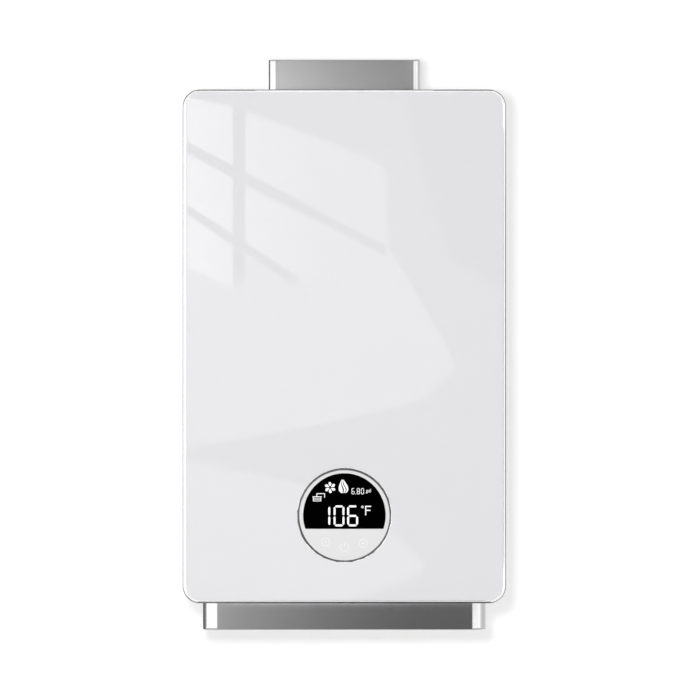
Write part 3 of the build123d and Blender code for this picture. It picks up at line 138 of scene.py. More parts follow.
class HeaterDisplaySettings(bpy.types.PropertyGroup):
    """Round display."""

    reading: digits("Reading", "Digits of the large reading, three at most", "106")
    flow: digits("Flow", "Digits of the small reading", "680")
    stroke: length("Stroke", "Width of the large digits' segments", 2.15 * MM)
    glow: level("Glow", "Brightness of the lit segments", 0.32)
    ring: colour("Ring", "Colour of the ring round the display", (0.12, 0.12, 0.125))
    lens: colour("Lens", "Colour of the plate that carries the touch keys", (0.80, 0.80, 0.80))
    window: colour("Window", "Colour of the smoked window", (0.0004, 0.0004, 0.0004))


class HeaterSteelSettings(bpy.types.PropertyGroup):
    """Case and flue hood."""

    hood_corner: length("Hood corner", "Radius of the hood's upright edges", 8 * MM)
    case_corner: length("Case corner", "Radius of the case's front edges", 16 * MM)
    sheet: length("Sheet", "Thickness of the sheet steel", 1 * MM)
    hood: colour("Hood", "Colour of the hood's stainless steel", (0.45, 0.45, 0.455))
    case: colour("Case", "Colour of the case's steel", (0.44, 0.44, 0.445))
    zinc: colour("Zinc", "Colour of the galvanised plates", (0.52, 0.54, 0.56))


class HeaterPortSettings(bpy.types.PropertyGroup):
    """Connections under the case."""

    thread: length("Thread radius", "Major radius of the pipe threads", 10.5 * MM)
    pitch: length("Pitch", "Distance from one turn of the thread to the next", 1.814 * MM)
    depth: length("Thread depth", "Depth of the thread", 1.05 * MM)
    flutes: bpy.props.IntProperty(
        name="Flutes", description="Finger flutes round the drain knob", default=12, min=3
    )
    brass: colour("Brass", "Colour of the brass connections", (0.78, 0.56, 0.27))
    knob: colour("Knob", "Colour of the drain knob", (0.03, 0.12, 0.42))


class HeaterStudioSettings(bpy.types.PropertyGroup):
    """Camera, lamps and backdrop."""

    distance: length("Distance", "How far the camera stands in front of the wall", 12.0)
    lens: level("Lens", "Focal length of the camera in millimetres", 584.0)
    key: level("Key", "Power of the main lamp in watts", 65.0)
    room: level("Room", "Brightness of the room all round", 0.27)
    backdrop: level("Backdrop", "Own brightness of the wall and floor as they are seen", 0.62)
    window: level("Window", "Brightness of the window that the glass mirrors", 3.7)
    side: level("Side", "Brightness of the cards beside the heater", 2.4)


GROUPS = {
    "heater_panel": HeaterPanelSettings,
    "heater_display": HeaterDisplaySettings,
    "heater_steel": HeaterSteelSettings,
    "heater_ports": HeaterPortSettings,
    "heater_studio": HeaterStudioSettings,
}


# ---------------------------------------------------------------- surfaces
def skin(grid, join_rows=False, join_columns=False, finish=0, close_ends=False):
    """Four-sided faces over a grid of points, rows by columns.

    Point (i, j) meets (i+1, j), (i+1, j+1) and (i, j+1). join_rows and join_columns carry the last on to the
    first. close_ends fills the first and last columns as flat faces. finish is one number, or one per row."""
    rows, columns = grid.shape[:2]
    number = np.arange(rows * columns).reshape(rows, columns)
    ends = [list(number[:, 0]), list(number[::-1, -1])] if close_ends else []
    if join_rows:
        number = np.vstack([number, number[:1]])
    if join_columns:
        number = np.hstack([number, number[:, :1]])
    faces = np.stack([number[:-1, :-1], number[:-1, 1:], number[1:, 1:], number[1:, :-1]], axis=-1)
    marks = list(np.broadcast_to(np.reshape(finish, (-1, 1)), faces.shape[:2]).reshape(-1))
    return grid.reshape(-1, 3), faces.reshape(-1, 4).tolist() + ends, marks + [int(marks[0])] * len(ends)


def make_piece(name, skins, finishes, stands_for=(), sharp=32, body="heater"):
    """One object of closed skins: doubles merged, faces turned outwards, soft where the bend is slight."""
    points, faces, marks, start = [], [], [], 0
    for grid_points, grid_faces, grid_marks in skins:
        points.append(grid_points)
        faces += [[start + corner for corner in face] for face in grid_faces]
        marks += grid_marks
        start += len(grid_points)
    mesh = bpy.data.meshes.new(name)
    mesh.from_pydata(np.concatenate(points).tolist(), [], faces)
    mesh.polygons.foreach_set("material_index", np.array(marks, dtype=np.int32))
    shape = bmesh.new()
    shape.from_mesh(mesh)
    bmesh.ops.remove_doubles(shape, verts=shape.verts, dist=MERGED_WITHIN)
    bmesh.ops.dissolve_degenerate(shape, edges=shape.edges, dist=SLIVER)
    bmesh.ops.recalc_face_normals(shape, faces=shape.faces)
    shape.to_mesh(mesh)
    shape.free()
    return settle(name, mesh, finishes, stands_for, sharp, body)


def settle(name, mesh, finishes, stands_for=(), sharp=32, body="heater"):
    """Puts a mesh into the scene on its body, with its finishes and the solids it stands for."""
    mesh.polygons.foreach_set("use_smooth", np.ones(len(mesh.polygons), dtype=bool))
    mesh.set_sharp_from_angle(angle=np.radians(sharp))
    piece = bpy.data.objects.new(name, mesh)
    bpy.context.scene.collection.objects.link(piece)
    for finish_name in finishes:
        mesh.materials.append(FINISHES[finish_name])
    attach(piece, body)
    if stands_for:
        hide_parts(*stands_for)
    return piece


def eased_copy(node, finish_name, width, flat_within=0.4, crisp_from=38):
    """A solid's own shape with its folds eased: its triangles are merged into flat faces, and each crisp edge
    gets a narrow round bevel. The two angles are in degrees."""
    shape = bmesh.new()
    shape.from_mesh(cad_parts[node].data)
    bmesh.ops.remove_doubles(shape, verts=shape.verts, dist=MERGED_WITHIN)
    bmesh.ops.dissolve_limit(
        shape, angle_limit=np.radians(flat_within), verts=shape.verts, edges=shape.edges
    )
    mesh = bpy.data.meshes.new(node + "_finished")
    shape.to_mesh(mesh)
    shape.free()
    piece = settle(node + "_finished", mesh, [finish_name], [node])
    ease = piece.modifiers.new("Eased edges", "BEVEL")
    ease.width = width
    ease.segments = 2
    ease.limit_method = "ANGLE"
    ease.angle_limit = np.radians(crisp_from)
    even = piece.modifiers.new("Flat faces stay flat", "WEIGHTED_NORMAL")
    even.keep_sharp = True


def round_rectangle(size, corner, inset, bend=14, straight=10, smallest=0.1 * MM):
    """Outline of a rectangle with round corners, drawn in by each inset.

    A corner is its centre plus (corner - inset) times (cos, sin) over a quarter turn; points evenly spaced on
    straight lines join one corner's end to the next one's start. One row of points per inset."""
    inset = np.atleast_1d(np.asarray(inset, float))[:, None]
    radius = np.maximum(corner - inset, smallest)
    share = np.arange(1, straight + 1)[None, :, None] / (straight + 1)
    runs = []
    for quarter, (across, up) in enumerate(((1, 1), (-1, 1), (-1, -1), (1, -1))):
        angle = (quarter + np.linspace(0, 1, bend + 1))[None] * QUARTER
        x = across * (size[0] / 2 - inset - radius) + radius * np.cos(angle)
        y = up * (size[1] / 2 - inset - radius) + radius * np.sin(angle)
        runs.append(np.stack([x, y], -1))
    joined = []
    for run, following in zip(runs, runs[1:] + runs[:1]):
        joined += [run, run[:, -1:] * (1 - share) + following[:, :1] * share]
    return np.concatenate(joined, axis=1)


def drawn_to_circle(outline, share, radius, centre):
    """Moves each point of an outline towards a circle, along the ray from the circle's centre through it.

    The point becomes (1 - share) times itself plus share times (centre + radius times its direction)."""
    ray = outline - centre
    ray /= np.linalg.norm(ray, axis=-1, keepdims=True)
    share, radius = np.asarray(share, float)[:, None, None], np.asarray(radius, float)[:, None, None]
    return outline * (1 - share) + (centre + radius * ray) * share


def lathe(profile, centre, axis="z", steps=96, shape=None):
    """A profile of (radius, height) turned about an axis: x = radius cos, y = radius sin, height along it.

    shape(radius, height, angle) may give each point another radius, as for a hexagon, flutes or a thread."""
    profile = np.asarray(profile, float)
    angle = np.linspace(0, TURN, steps, endpoint=False)[None]
    radius, height = profile[:, :1] + 0 * angle, profile[:, 1:] + 0 * angle
    if shape is not None:
        radius = shape(radius, height, angle + 0 * height)
    across, up = centre[0] + radius * np.cos(angle), centre[1] + radius * np.sin(angle)
    return np.stack([across, up, height] if axis == "z" else [across, height, up], -1)


def raised(outline, low, high):
    """An upright flat outline with thickness: one closed line at two depths, with a flat face on each."""
    outline = np.asarray(outline, float)
    count = len(outline)
    depth = np.repeat([low, high], count)[:, None]
    flat = np.vstack([outline, outline])
    points = np.hstack([flat[:, :1], depth, flat[:, 1:]])
    step = np.arange(count)
    sides = np.stack([step, (step + 1) % count, (step + 1) % count + count, step + count], -1)
    faces = sides.tolist() + [list(step[::-1]), list(step + count)]
    return points, faces, [0] * len(faces)


def raised_band(centre, inner, outer, low, high, start=0.0, end=TURN, steps=48):
    """An upright ring, or an arc from start to end with closed ends: circles of two radii at two depths."""
    whole = end - start >= TURN - TINY
    angle = np.linspace(start, end, steps, endpoint=not whole)[None]
    radius = np.array([outer, outer, inner, inner])[:, None]
    depth = np.array([low, high, high, low])[:, None] + 0 * angle
    grid = np.stack([centre[0] + radius * np.cos(angle), depth, centre[1] + radius * np.sin(angle)], -1)
    return skin(grid, True, whole, close_ends=not whole)


def box_outline(x, z, width, height):
    """Corners of an upright rectangle about its middle."""
    corners = np.array([(-1, -1), (1, -1), (1, 1), (-1, 1)])
    return np.array([x, z]) + corners * (width / 2, height / 2)


# ---------------------------------------------------------------- shader nodes
FLOAT, COLOUR, VECTOR = "NodeSocketFloat", "NodeSocketColor", "NodeSocketVector"
EDGE_GAIN = 4.0
RUB_FINENESS = 160.0


def wire(tree, value, socket):
    """Sets an input to a value, or links another node's output to it."""
    if isinstance(value, bpy.types.NodeSocket):
        tree.links.new(value, socket)
    else:
        socket.default_value = value


def node(tree, kind, **settings):
    """A node with its settings. A key that starts with in_ goes on with an input's number or name: that input
    is set to the value, or linked where the value is another node's output."""
    made = tree.nodes.new(kind)
    for key, value in settings.items():
        label = key.removeprefix("in_").replace("_", " ")
        if key.startswith("in_"):
            wire(tree, value, made.inputs[int(label) if label.isdigit() else label])
        else:
            setattr(made, key, value)
    return made


def maths(tree, operation, *values, clamp=False):
    """Output of a Math node over numbers and other nodes' outputs."""
    inputs = {f"in_{place}": value for place, value in enumerate(values)}
    return node(tree, "ShaderNodeMath", operation=operation, use_clamp=clamp, **inputs).outputs[0]


def blended(tree, share, first, second):
    """Output of a mix of two colours; each is a colour or another node's output."""
    mix = node(tree, "ShaderNodeMix", data_type="RGBA", in_Factor=share, in_6=first, in_7=second)
    return mix.outputs[2]


def place_on(tree):
    """Output with the place of a point on its piece."""
    return node(tree, "ShaderNodeTexCoord").outputs["Object"]


def new_group(name, inputs, outputs):
    """An empty shader group: its tree, the sockets that bring its inputs, and those that take its outputs."""
    group = bpy.data.node_groups.new(name, "ShaderNodeTree")
    for label, (kind, value) in inputs.items():
        group.interface.new_socket(label, in_out="INPUT", socket_type=kind).default_value = value
    for label, kind in outputs.items():
        group.interface.new_socket(label, in_out="OUTPUT", socket_type=kind)
    return group, group.nodes.new("NodeGroupInput").outputs, group.nodes.new("NodeGroupOutput").inputs


def grain_group():
    """Stretched noise: Tone goes from 0 to 1 for colour and roughness, and Height is for the bump."""
    inputs = {"Stretch": (VECTOR, (100, 100, 100)), "Detail": (FLOAT, 3.0), "Contrast": (FLOAT, 1.0)}
    tree, given, out = new_group("Surface Grain", inputs, {"Tone": FLOAT, "Height": FLOAT})
    stretched = node(
        tree, "ShaderNodeVectorMath", operation="MULTIPLY", in_0=place_on(tree), in_1=given["Stretch"]
    ).outputs[0]
    noise = node(tree, "ShaderNodeTexNoise", in_Vector=stretched, in_Scale=1.0, in_Detail=given["Detail"])
    centred = maths(tree, "SUBTRACT", noise.outputs["Fac"], 0.5)
    wire(tree, maths(tree, "MULTIPLY_ADD", centred, given["Contrast"], 0.5, clamp=True), out["Tone"])
    wire(tree, noise.outputs["Fac"], out["Height"])
    return tree


def tint_group():
    """Slow drift from one colour to another over the surface."""
    grey, pale = (0.5, 0.5, 0.5, 1), (0.6, 0.6, 0.6, 1)
    inputs = {"First": (COLOUR, grey), "Second": (COLOUR, pale), "Scale": (FLOAT, 12.0)}
    tree, given, out = new_group("Drifting Tint", inputs, {"Colour": COLOUR})
    noise = node(tree, "ShaderNodeTexNoise", in_Vector=place_on(tree), in_Scale=given["Scale"], in_Detail=2.0)
    wire(tree, blended(tree, noise.outputs["Fac"], given["First"], given["Second"]), out["Colour"])
    return tree


def wear_group():
    """Mask of rubbed edges: how far the eased normal turns from the true one, broken up by noise."""
    inputs = {"Width": (FLOAT, 0.6 * MM), "Amount": (FLOAT, 1.0)}
    tree, given, out = new_group("Rubbed Edges", inputs, {"Mask": FLOAT})
    eased = node(tree, "ShaderNodeBevel", samples=4, in_Radius=given["Width"]).outputs[0]
    true = node(tree, "ShaderNodeNewGeometry").outputs["True Normal"]
    alike = node(tree, "ShaderNodeVectorMath", operation="DOT_PRODUCT", in_0=eased, in_1=true)
    turned = maths(tree, "SUBTRACT", 1.0, alike.outputs["Value"])
    at_edge = maths(tree, "MULTIPLY", turned, EDGE_GAIN, clamp=True)
    noise = node(tree, "ShaderNodeTexNoise", in_Vector=place_on(tree), in_Scale=RUB_FINENESS, in_Detail=3.0)
    broken = maths(tree, "MULTIPLY", at_edge, noise.outputs["Fac"])
    wire(tree, maths(tree, "MULTIPLY", broken, given["Amount"], clamp=True), out["Mask"])
    return tree


def dust_group():
    """Mask of settled dust: the share of the normal that points up, times soft noise."""
    inputs = {"Amount": (FLOAT, 0.2), "Scale": (FLOAT, 60.0)}
    tree, given, out = new_group("Settled Dust", inputs, {"Mask": FLOAT})
    normal = node(tree, "ShaderNodeNewGeometry").outputs["Normal"]
    upward = maths(tree, "MAXIMUM", node(tree, "ShaderNodeSeparateXYZ", in_0=normal).outputs["Z"], 0.0)
    noise = node(tree, "ShaderNodeTexNoise", in_Vector=place_on(tree), in_Scale=given["Scale"], in_Detail=4.0)
    settled = maths(tree, "MULTIPLY", upward, noise.outputs["Fac"])
    wire(tree, maths(tree, "MULTIPLY", settled, given["Amount"], clamp=True), out["Mask"])
    return tree


EFFECT_MAKERS = {"grain": grain_group, "tint": tint_group, "wear": wear_group, "dust": dust_group}
EFFECTS = {}


def effect(tree, name, **values):
    """Places a shared group, which is made once, in a material with its own values."""
    if name not in EFFECTS:
        EFFECTS[name] = EFFECT_MAKERS[name]()
    return node(tree, "ShaderNodeGroup", node_tree=EFFECTS[name], **values)


# ---------------------------------------------------------------- finishes
DUST_COLOUR = (0.45, 0.43, 0.40, 1)
GRAIN_CONTRAST = 1.4
COAT_ROUGHNESS = 0.06
FINISHES = {}


def blank_material(name, kind="ShaderNodeBsdfPrincipled"):
    """A material with one shader on its output: the material, its tree and the shader."""
    material = bpy.data.materials.new(name)
    material.use_nodes = True
    tree = material.node_tree
    tree.nodes.clear()
    shader = tree.nodes.new(kind)
    node(tree, "ShaderNodeOutputMaterial", in_Surface=shader.outputs[0])
    return material, tree, shader


def finish(
    name, base, drift=0.06, metal=0.0, rough=(0.3, 0.4), stretch=300, bump=0.02, depth=0.05, detail=3.0,
    tint_scale=14.0, worn=None, worn_amount=0.0, worn_width=0.6, dust=0.0, coat=0.0, ior=1.5,
):
    """A finish from the shared groups: drifting colour, grain in roughness and bump, rubbed edges and dust.

    rough is the range of roughness that the grain runs over. stretch is how fine the grain is, alike all ways
    or along x, y and z. depth, of the bump, and worn_width are in millimetres."""
    material, tree, shader = blank_material(name)
    base = np.array(base, float)
    low, high = (*np.clip(base * (1 - drift), 0, 1), 1), (*np.clip(base * (1 + drift), 0, 1), 1)
    shown = effect(tree, "tint", in_First=low, in_Second=high, in_Scale=tint_scale).outputs["Colour"]
    fineness = np.broadcast_to(np.array(stretch, float), 3)
    grain = effect(tree, "grain", in_Stretch=fineness, in_Detail=detail, in_Contrast=GRAIN_CONTRAST).outputs
    dulled = node(
        tree, "ShaderNodeMapRange", in_Value=grain["Tone"], in_To_Min=rough[0], in_To_Max=rough[1]
    ).outputs[0]
    relief = node(tree, "ShaderNodeBump", in_Strength=bump, in_Distance=depth * MM, in_Height=grain["Height"])
    if worn_amount:
        rub = effect(tree, "wear", in_Width=worn_width * MM, in_Amount=worn_amount).outputs["Mask"]
        shown = blended(tree, rub, shown, (*worn, 1))
    if dust:
        settled = effect(tree, "dust", in_Amount=dust).outputs["Mask"]
        shown = blended(tree, settled, shown, DUST_COLOUR)
        dulled = maths(tree, "ADD", dulled, settled, clamp=True)
    for label, value in (
        ("Base Color", shown), ("Roughness", dulled), ("Normal", relief.outputs[0]), ("Metallic", metal),
        ("IOR", ior), ("Coat Weight", coat), ("Coat Roughness", COAT_ROUGHNESS),
    ):
        wire(tree, value, shader.inputs[label])
    return material


def shader_of(material):
    """A finish's Principled BSDF."""
    return next(one for one in material.node_tree.nodes if one.type == "BSDF_PRINCIPLED")


def speckled(material, spots, scale, threshold, soft=0.3):
    """Adds fine flecks of a second colour to a finish, as in cast metal or galvanising."""
    tree, base = material.node_tree, shader_of(material).inputs["Base Color"]
    cells = node(tree, "ShaderNodeTexVoronoi", in_Vector=place_on(tree), in_Scale=scale)
    grey = node(tree, "ShaderNodeRGBToBW", in_0=cells.outputs["Color"]).outputs[0]
    share = node(
        tree, "ShaderNodeMapRange", in_Value=grey, in_From_Min=threshold, in_From_Max=threshold + soft
    ).outputs[0]
    wire(tree, blended(tree, share, base.links[0].from_socket, (*spots, 1)), base)
    return material


def lit(name, tint, glow):
    """A lit segment: its own light over a white plastic finish."""
    material = finish(name, tint, drift=0.02, rough=(0.25, 0.35), bump=0.01)
    shader = shader_of(material)
    shader.inputs["Emission Color"].default_value = (*tint, 1)
    shader.inputs["Emission Strength"].default_value = glow
    return material


def outer_finishes(scene):
    """Finishes whose colours stand in the sidebar."""
    panel, display = scene.heater_panel, scene.heater_display
    steel, ports = scene.heater_steel, scene.heater_ports
    return {
        "glass_face": finish(
            "White Enamel Behind Glass", panel.face, drift=0.008, rough=(0.012, 0.03), stretch=9, bump=0.006,
            depth=0.4, tint_scale=5, detail=2,
        ),
        # Painted highlight: the bevel, the glass's side and the hole's edge are the same glass as the face,
        # given a near-white mirror finish so they show as a bright band.
        "glass_edge_highlight": finish(
            "Glass Bevel Painted Highlight", panel.edge, drift=0.01, metal=1.0, rough=(0.05, 0.1), stretch=40,
            bump=0.01,
        ),
        "tray": finish(
            "Satin Tray Metal", panel.tray, metal=1.0, rough=(0.22, 0.34), stretch=(40, 40, 700), bump=0.03,
            worn=(0.5, 0.5, 0.5), worn_amount=0.15,
        ),
        "hood": finish(
            "Brushed Stainless Hood", steel.hood, drift=0.03, metal=1.0, rough=(0.12, 0.2),
            stretch=(700, 700, 14), bump=0.02, depth=0.03, worn=(0.75, 0.75, 0.76), worn_amount=0.5,
            dust=0.12,
        ),
        "case": finish(
            "Brushed Stainless Sheet", steel.case, drift=0.03, metal=1.0, rough=(0.11, 0.18),
            stretch=(700, 700, 14), bump=0.018, depth=0.03, worn=(0.6, 0.6, 0.6), worn_amount=0.5, dust=0.15,
        ),
        "zinc": speckled(finish(
            "Galvanised Plate", steel.zinc, drift=0.08, metal=1.0, rough=(0.3, 0.5), stretch=90, bump=0.03,
            worn=(0.75, 0.76, 0.78), worn_amount=0.5, dust=0.2,
        ), (0.57, 0.59, 0.61), scale=260.0, threshold=0.45),
        "brass": finish(
            "Turned Brass", ports.brass, drift=0.08, metal=1.0, rough=(0.18, 0.34), stretch=(60, 60, 900),
            bump=0.03, worn=(0.95, 0.78, 0.45), worn_amount=0.2, worn_width=0.4, dust=0.04,
        ),
        "window": finish(
            "Smoked Window", display.window, drift=0.2, rough=(0.03, 0.07), stretch=30, bump=0.004, ior=1.02,
        ),
        "lens": finish("Milky Lens", display.lens, drift=0.01, rough=(0.12, 0.2), stretch=60, bump=0.01),
        "ring": finish(
            "Dark Ring Metal", display.ring, drift=0.05, metal=1.0, rough=(0.22, 0.34), stretch=900,
            bump=0.02, worn=(0.45, 0.45, 0.46), worn_amount=0.4, worn_width=0.3,
        ),
        "knob": finish(
            "Blue Moulding", ports.knob, drift=0.08, rough=(0.32, 0.48), stretch=1000, bump=0.06, depth=0.03,
            worn=(0.12, 0.25, 0.6), worn_amount=0.6,
        ),
        "segments": lit("Lit Segments", (0.82, 0.82, 0.82), display.glow),
    }


def common_finishes():
    """Finishes that every such heater shares."""
    return {
        "screw": finish(
            "Zinc Screw", (0.62, 0.63, 0.64), drift=0.05, metal=1.0, rough=(0.2, 0.35), stretch=500,
            bump=0.04, worn=(0.85, 0.85, 0.85), worn_amount=0.7, worn_width=0.3,
        ),
        "copper": finish(
            "Drawn Copper", (0.78, 0.39, 0.24), drift=0.12, metal=1.0, rough=(0.2, 0.42),
            stretch=(120, 120, 30), bump=0.03, worn=(0.95, 0.6, 0.4), worn_amount=0.3, dust=0.1,
        ),
        "alloy": speckled(finish(
            "Cast Alloy", (0.46, 0.47, 0.48), drift=0.08, metal=1.0, rough=(0.42, 0.62), stretch=500,
            bump=0.12, depth=0.08, detail=5, worn=(0.7, 0.7, 0.7), worn_amount=0.5, dust=0.2,
        ), (0.34, 0.35, 0.36), scale=900.0, threshold=0.5),
        "bright": finish(
            "Ground Steel", (0.66, 0.66, 0.67), metal=1.0, rough=(0.12, 0.24), stretch=(900, 60, 900),
            bump=0.02, worn=(0.85, 0.85, 0.85), worn_amount=0.3,
        ),
        "keys": finish("Key Print", (0.93, 0.93, 0.93), drift=0.01, bump=0.01),
        "black": finish(
            "Black Moulding", (0.022, 0.022, 0.024), drift=0.1, rough=(0.38, 0.55), stretch=1200, bump=0.08,
            depth=0.03, worn=(0.09, 0.09, 0.09), worn_amount=0.5, dust=0.15,
        ),
        "white": finish(
            "White Moulding", (0.78, 0.77, 0.74), drift=0.03, rough=(0.35, 0.5), stretch=1000, bump=0.05,
            depth=0.03, dust=0.15,
        ),
        "circuit": speckled(finish(
            "Lacquered Board", (0.02, 0.16, 0.07), drift=0.15, rough=(0.2, 0.4), stretch=400, bump=0.04,
            coat=0.4,
        ), (0.55, 0.48, 0.2), scale=500.0, threshold=0.66),
        "rubber": finish(
            "Soft Gasket", (0.045, 0.043, 0.04), drift=0.12, rough=(0.7, 0.9), stretch=900, bump=0.2,
            depth=0.06, dust=0.2,
        ),
        "ceramic": finish("Glazed Ceramic", (0.82, 0.79, 0.72), drift=0.04, rough=(0.15, 0.3), coat=0.3),
        "tape": finish("Foam Tape", (0.10, 0.10, 0.10), drift=0.1, rough=(0.7, 0.9), stretch=1500, bump=0.25),
    }


INNER_PARTS = {
    "tape": ["glass_tape"],
    "tray": ["panel_back"],
    "black": [
        "display_light_box", "blower_motor", "shutoff_coil", "modulator_coil", "igniter_module",
        "pressure_switch",
    ],
    "circuit": ["display_board", "control_board"],
    "bright": ["smoke_collector", "burner_bars", "motor_shaft"],
    "copper": ["exchanger_shell", "exchanger_tubes", "exchanger_fins", "gas_pipe", "cold_pipe", "hot_pipe"],
    "zinc": ["burner_box", "stack_brackets", "impeller"],
    "alloy": ["gas_manifold", "blower_housing", "gas_valve_body"],
    "brass": ["gas_nozzles", "shutoff_plunger", "modulator_plunger", "drain_plug"],
    "ceramic": ["electrodes"],
    "white": ["flow_sensor_cap", "inlet_filter", "flow_rotor", "control_box", "control_lid"],
    "rubber": ["pressure_hose"],
    "screw": ["panel_screws"],
}


# ---------------------------------------------------------------- glass panel
GLASS_PLAY = 0.1 * MM
TRAY_UNDER_RING = 2.1 * MM


def holed_plate(size, corner, rows, middle, hole, finish=0):
    """A round-cornered plate with a round hole, as one closed skin.

    Each row is (share, inset, hole radius, depth): the outline drawn in by inset is moved by share towards
    the hole's circle and set at that depth. The rows run from the back edge over the face, through the hole
    and back."""
    share, inset, radius, depth = np.array(rows, float).T
    outline = round_rectangle(size, corner, inset)
    centre = np.array([hole[0] - middle[0], hole[1] - middle[2]])
    flat = drawn_to_circle(outline, share, radius, centre)
    depth = depth[:, None] + 0 * flat[..., 0]
    grid = np.stack([middle[0] + flat[..., 0], depth, middle[2] + flat[..., 1]], -1)
    return skin(grid, True, True, finish)


class HEATER_OT_glass_panel(bpy.types.Operator):
    """Makes the bevelled glass panel and the tray round it"""

    bl_idname = "heater.glass_panel"
    bl_label = "Glass panel"

    def execute(self, context):
        sizes, wall = context.scene.heater_panel, context.scene.heater_steel.sheet
        hole = (DISPLAY_MIDDLE[0], DISPLAY_MIDDLE[2])
        ring = size_of("display_ring")[0] / 2
        self.glass(sizes, hole, ring + GLASS_PLAY)
        self.tray(sizes, hole, ring - TRAY_UNDER_RING, wall)
        return {"FINISHED"}

    def glass(self, sizes, hole, rim):
        """The plate: side, bevel at 45 degrees, an eighth turn of bend, flat face, and the hole's edge."""
        low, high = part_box("glass_panel")
        face, back = low.y, high.y
        width, _, height = size_of("glass_panel")
        cut, nick = sizes.bevel, 0.05 * MM
        bend = 0.35 * cut
        reach = 0.41
        slope = np.linspace(0, QUARTER / 2, 6)[::-1]
        side = [(0, 0, 0, back), (0, 0, 0, face + cut + nick), (0, nick, 0, face + cut - nick)]
        bevel = [(0, cut + bend * (reach - np.sin(a)), 0, face + bend * (1 - np.cos(a))) for a in slope]
        shares = (0, 0.15, 0.35, 0.55, 0.75, 0.9, 1)
        flat = [(share, cut + 0.5 * bend, rim + 0.5 * MM, face) for share in shares]
        edge = [(1, 0, rim + 0.3 * MM, face), (1, 0, rim + 0.15 * MM, face + 0.06 * MM)]
        bore = [(1, 0, rim, face + 0.4 * MM), (1, 0, rim, back), (0.5, 0, rim, back)]
        # Marks 1 give the side, the bevel and the hole's edge the bevel's painted-highlight finish; marks 0
        # give the face and the back the enamel.
        marks = [1] * 8 + [0] * 8 + [1] * 3 + [0] * 2
        rows = side + bevel + flat + edge + bore
        plate = holed_plate((width, height), sizes.corner, rows, PANEL_MIDDLE, hole, marks)
        finishes = ["glass_face", "glass_edge_highlight"]
        make_piece("bevelled_glass", [plate], finishes, ["glass_panel"], sharp=20)

    def tray(self, sizes, hole, mouth, wall):
        """The tray: skirt, a quarter turn of fold, flat front, and the inner wall back to the skirt."""
        low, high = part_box("panel_tray")
        front, rear = low.y, high.y
        width, _, height = size_of("panel_tray")
        fold = 1.2 * wall
        turns = np.linspace(0, QUARTER, 7)
        rows = [(0, wall, 0, rear), (0, 0, 0, rear)]
        rows += [(0, fold * (1 - np.cos(a)), 0, front + fold * (1 - np.sin(a))) for a in turns]
        rows += [(0, 2 * fold, 0, front), (1, 0, mouth, front), (1, 0, mouth, front + wall)]
        rows += [(0, wall, 0, front + wall)]
        tray = holed_plate((width, height), sizes.tray_corner, rows, PANEL_MIDDLE, hole)
        make_piece("folded_tray", [tray], ["tray"], ["panel_tray"], sharp=40)


# ---------------------------------------------------------------- display
SEGMENTS = {
    "0": "abcdef", "1": "bc", "2": "abged", "3": "abgcd", "4": "fgbc", "5": "afgcd", "6": "afgedc",
    "7": "abc", "8": "abcdefg", "9": "abcdfg",
}
# Middle of each segment, in half widths across and quarter heights up, and whether it stands upright.
SEGMENT_PLACES = {
    "a": (0, 2, False), "g": (0, 0, False), "d": (0, -2, False),
    "f": (-1, 1, True), "b": (1, 1, True), "e": (-1, -1, True), "c": (1, -1, True),
}
# Places on the display are in millimetres from its middle; a bar is (x, z, width, height).
READING_LEFTS, READING_TOP, READING_SIZE, READING_GAP = (-26.3, -11.4, 2.9), 10.5, (11.5, 22.1), 0.4
FLOW_LEFTS, FLOW_TOP, FLOW_SIZE, FLOW_GAP, FLOW_STROKE = (7.5, 13.1, 17.4), 28.5, (3.2, 6.4), 0.12, 0.65
FLOW_DOT = (11.8, 22.4, 0.7, 0.7)
FLOW_UNIT_PLACE, FLOW_UNIT_SIZE = (22.6, 24.3), 5.2
DEGREE_PLACE, DEGREE_RADII = (18.95, 8.8), (0.6, 1.3)
LETTER_F = ((22.4, 5.0, 1.15, 9.8), (25.1, 9.4, 5.8, 1.15), (24.8, 5.3, 5.0, 1.15))
FAN_PLACE, PETAL_REACH, PETAL_WIDTH, FAN_HUB = (-15.0, 29.2), 6.0, 1.4, 1.0
FLAME_PLACE, FLAME_SIZE = (-0.8, 30.6), (10.2, 15.6)
SHOWER_TRAY = (
    (-28.7, 19.5, 9.6, 0.9), (-28.7, 17.8, 8.0, 0.5), (-28.7, 16.5, 8.0, 0.5), (-28.7, 15.1, 8.4, 0.7),
    (-32.7, 17.2, 0.7, 4.8), (-24.7, 17.2, 0.7, 4.8),
)
SHOWER_PIPE = ((-29.0, 21.2, 0.8, 2.6), (-24.9, 22.8, 9.0, 0.8), (-20.8, 20.6, 0.8, 4.0))
RING_WIDTH, LENS_SUNK, SIGNS_PROUD, SIGNS_SUNK = 1.9, 0.08, 0.05, 0.02
MINUS_KEY, POWER_KEY, PLUS_KEY = (-19.95, -27.9), (0.0, -33.6), (19.75, -29.3)
KEY_RADII, KEY_BAR, KEY_STROKE = (3.9, 4.5), 3.6, 0.7
POWER_ARC, POWER_BAR = (2.1, 7.325), (0.0, -30.6, 0.7, 4.2)


def on_display(x, z):
    """A place on the display in metres, from millimetres off its middle."""
    return DISPLAY_MIDDLE[0] + x * MM, DISPLAY_MIDDLE[2] + z * MM


def display_bar(x, z, width, height):
    """An upright rectangle on the display, from millimetres."""
    return box_outline(*on_display(x, z), width * MM, height * MM)


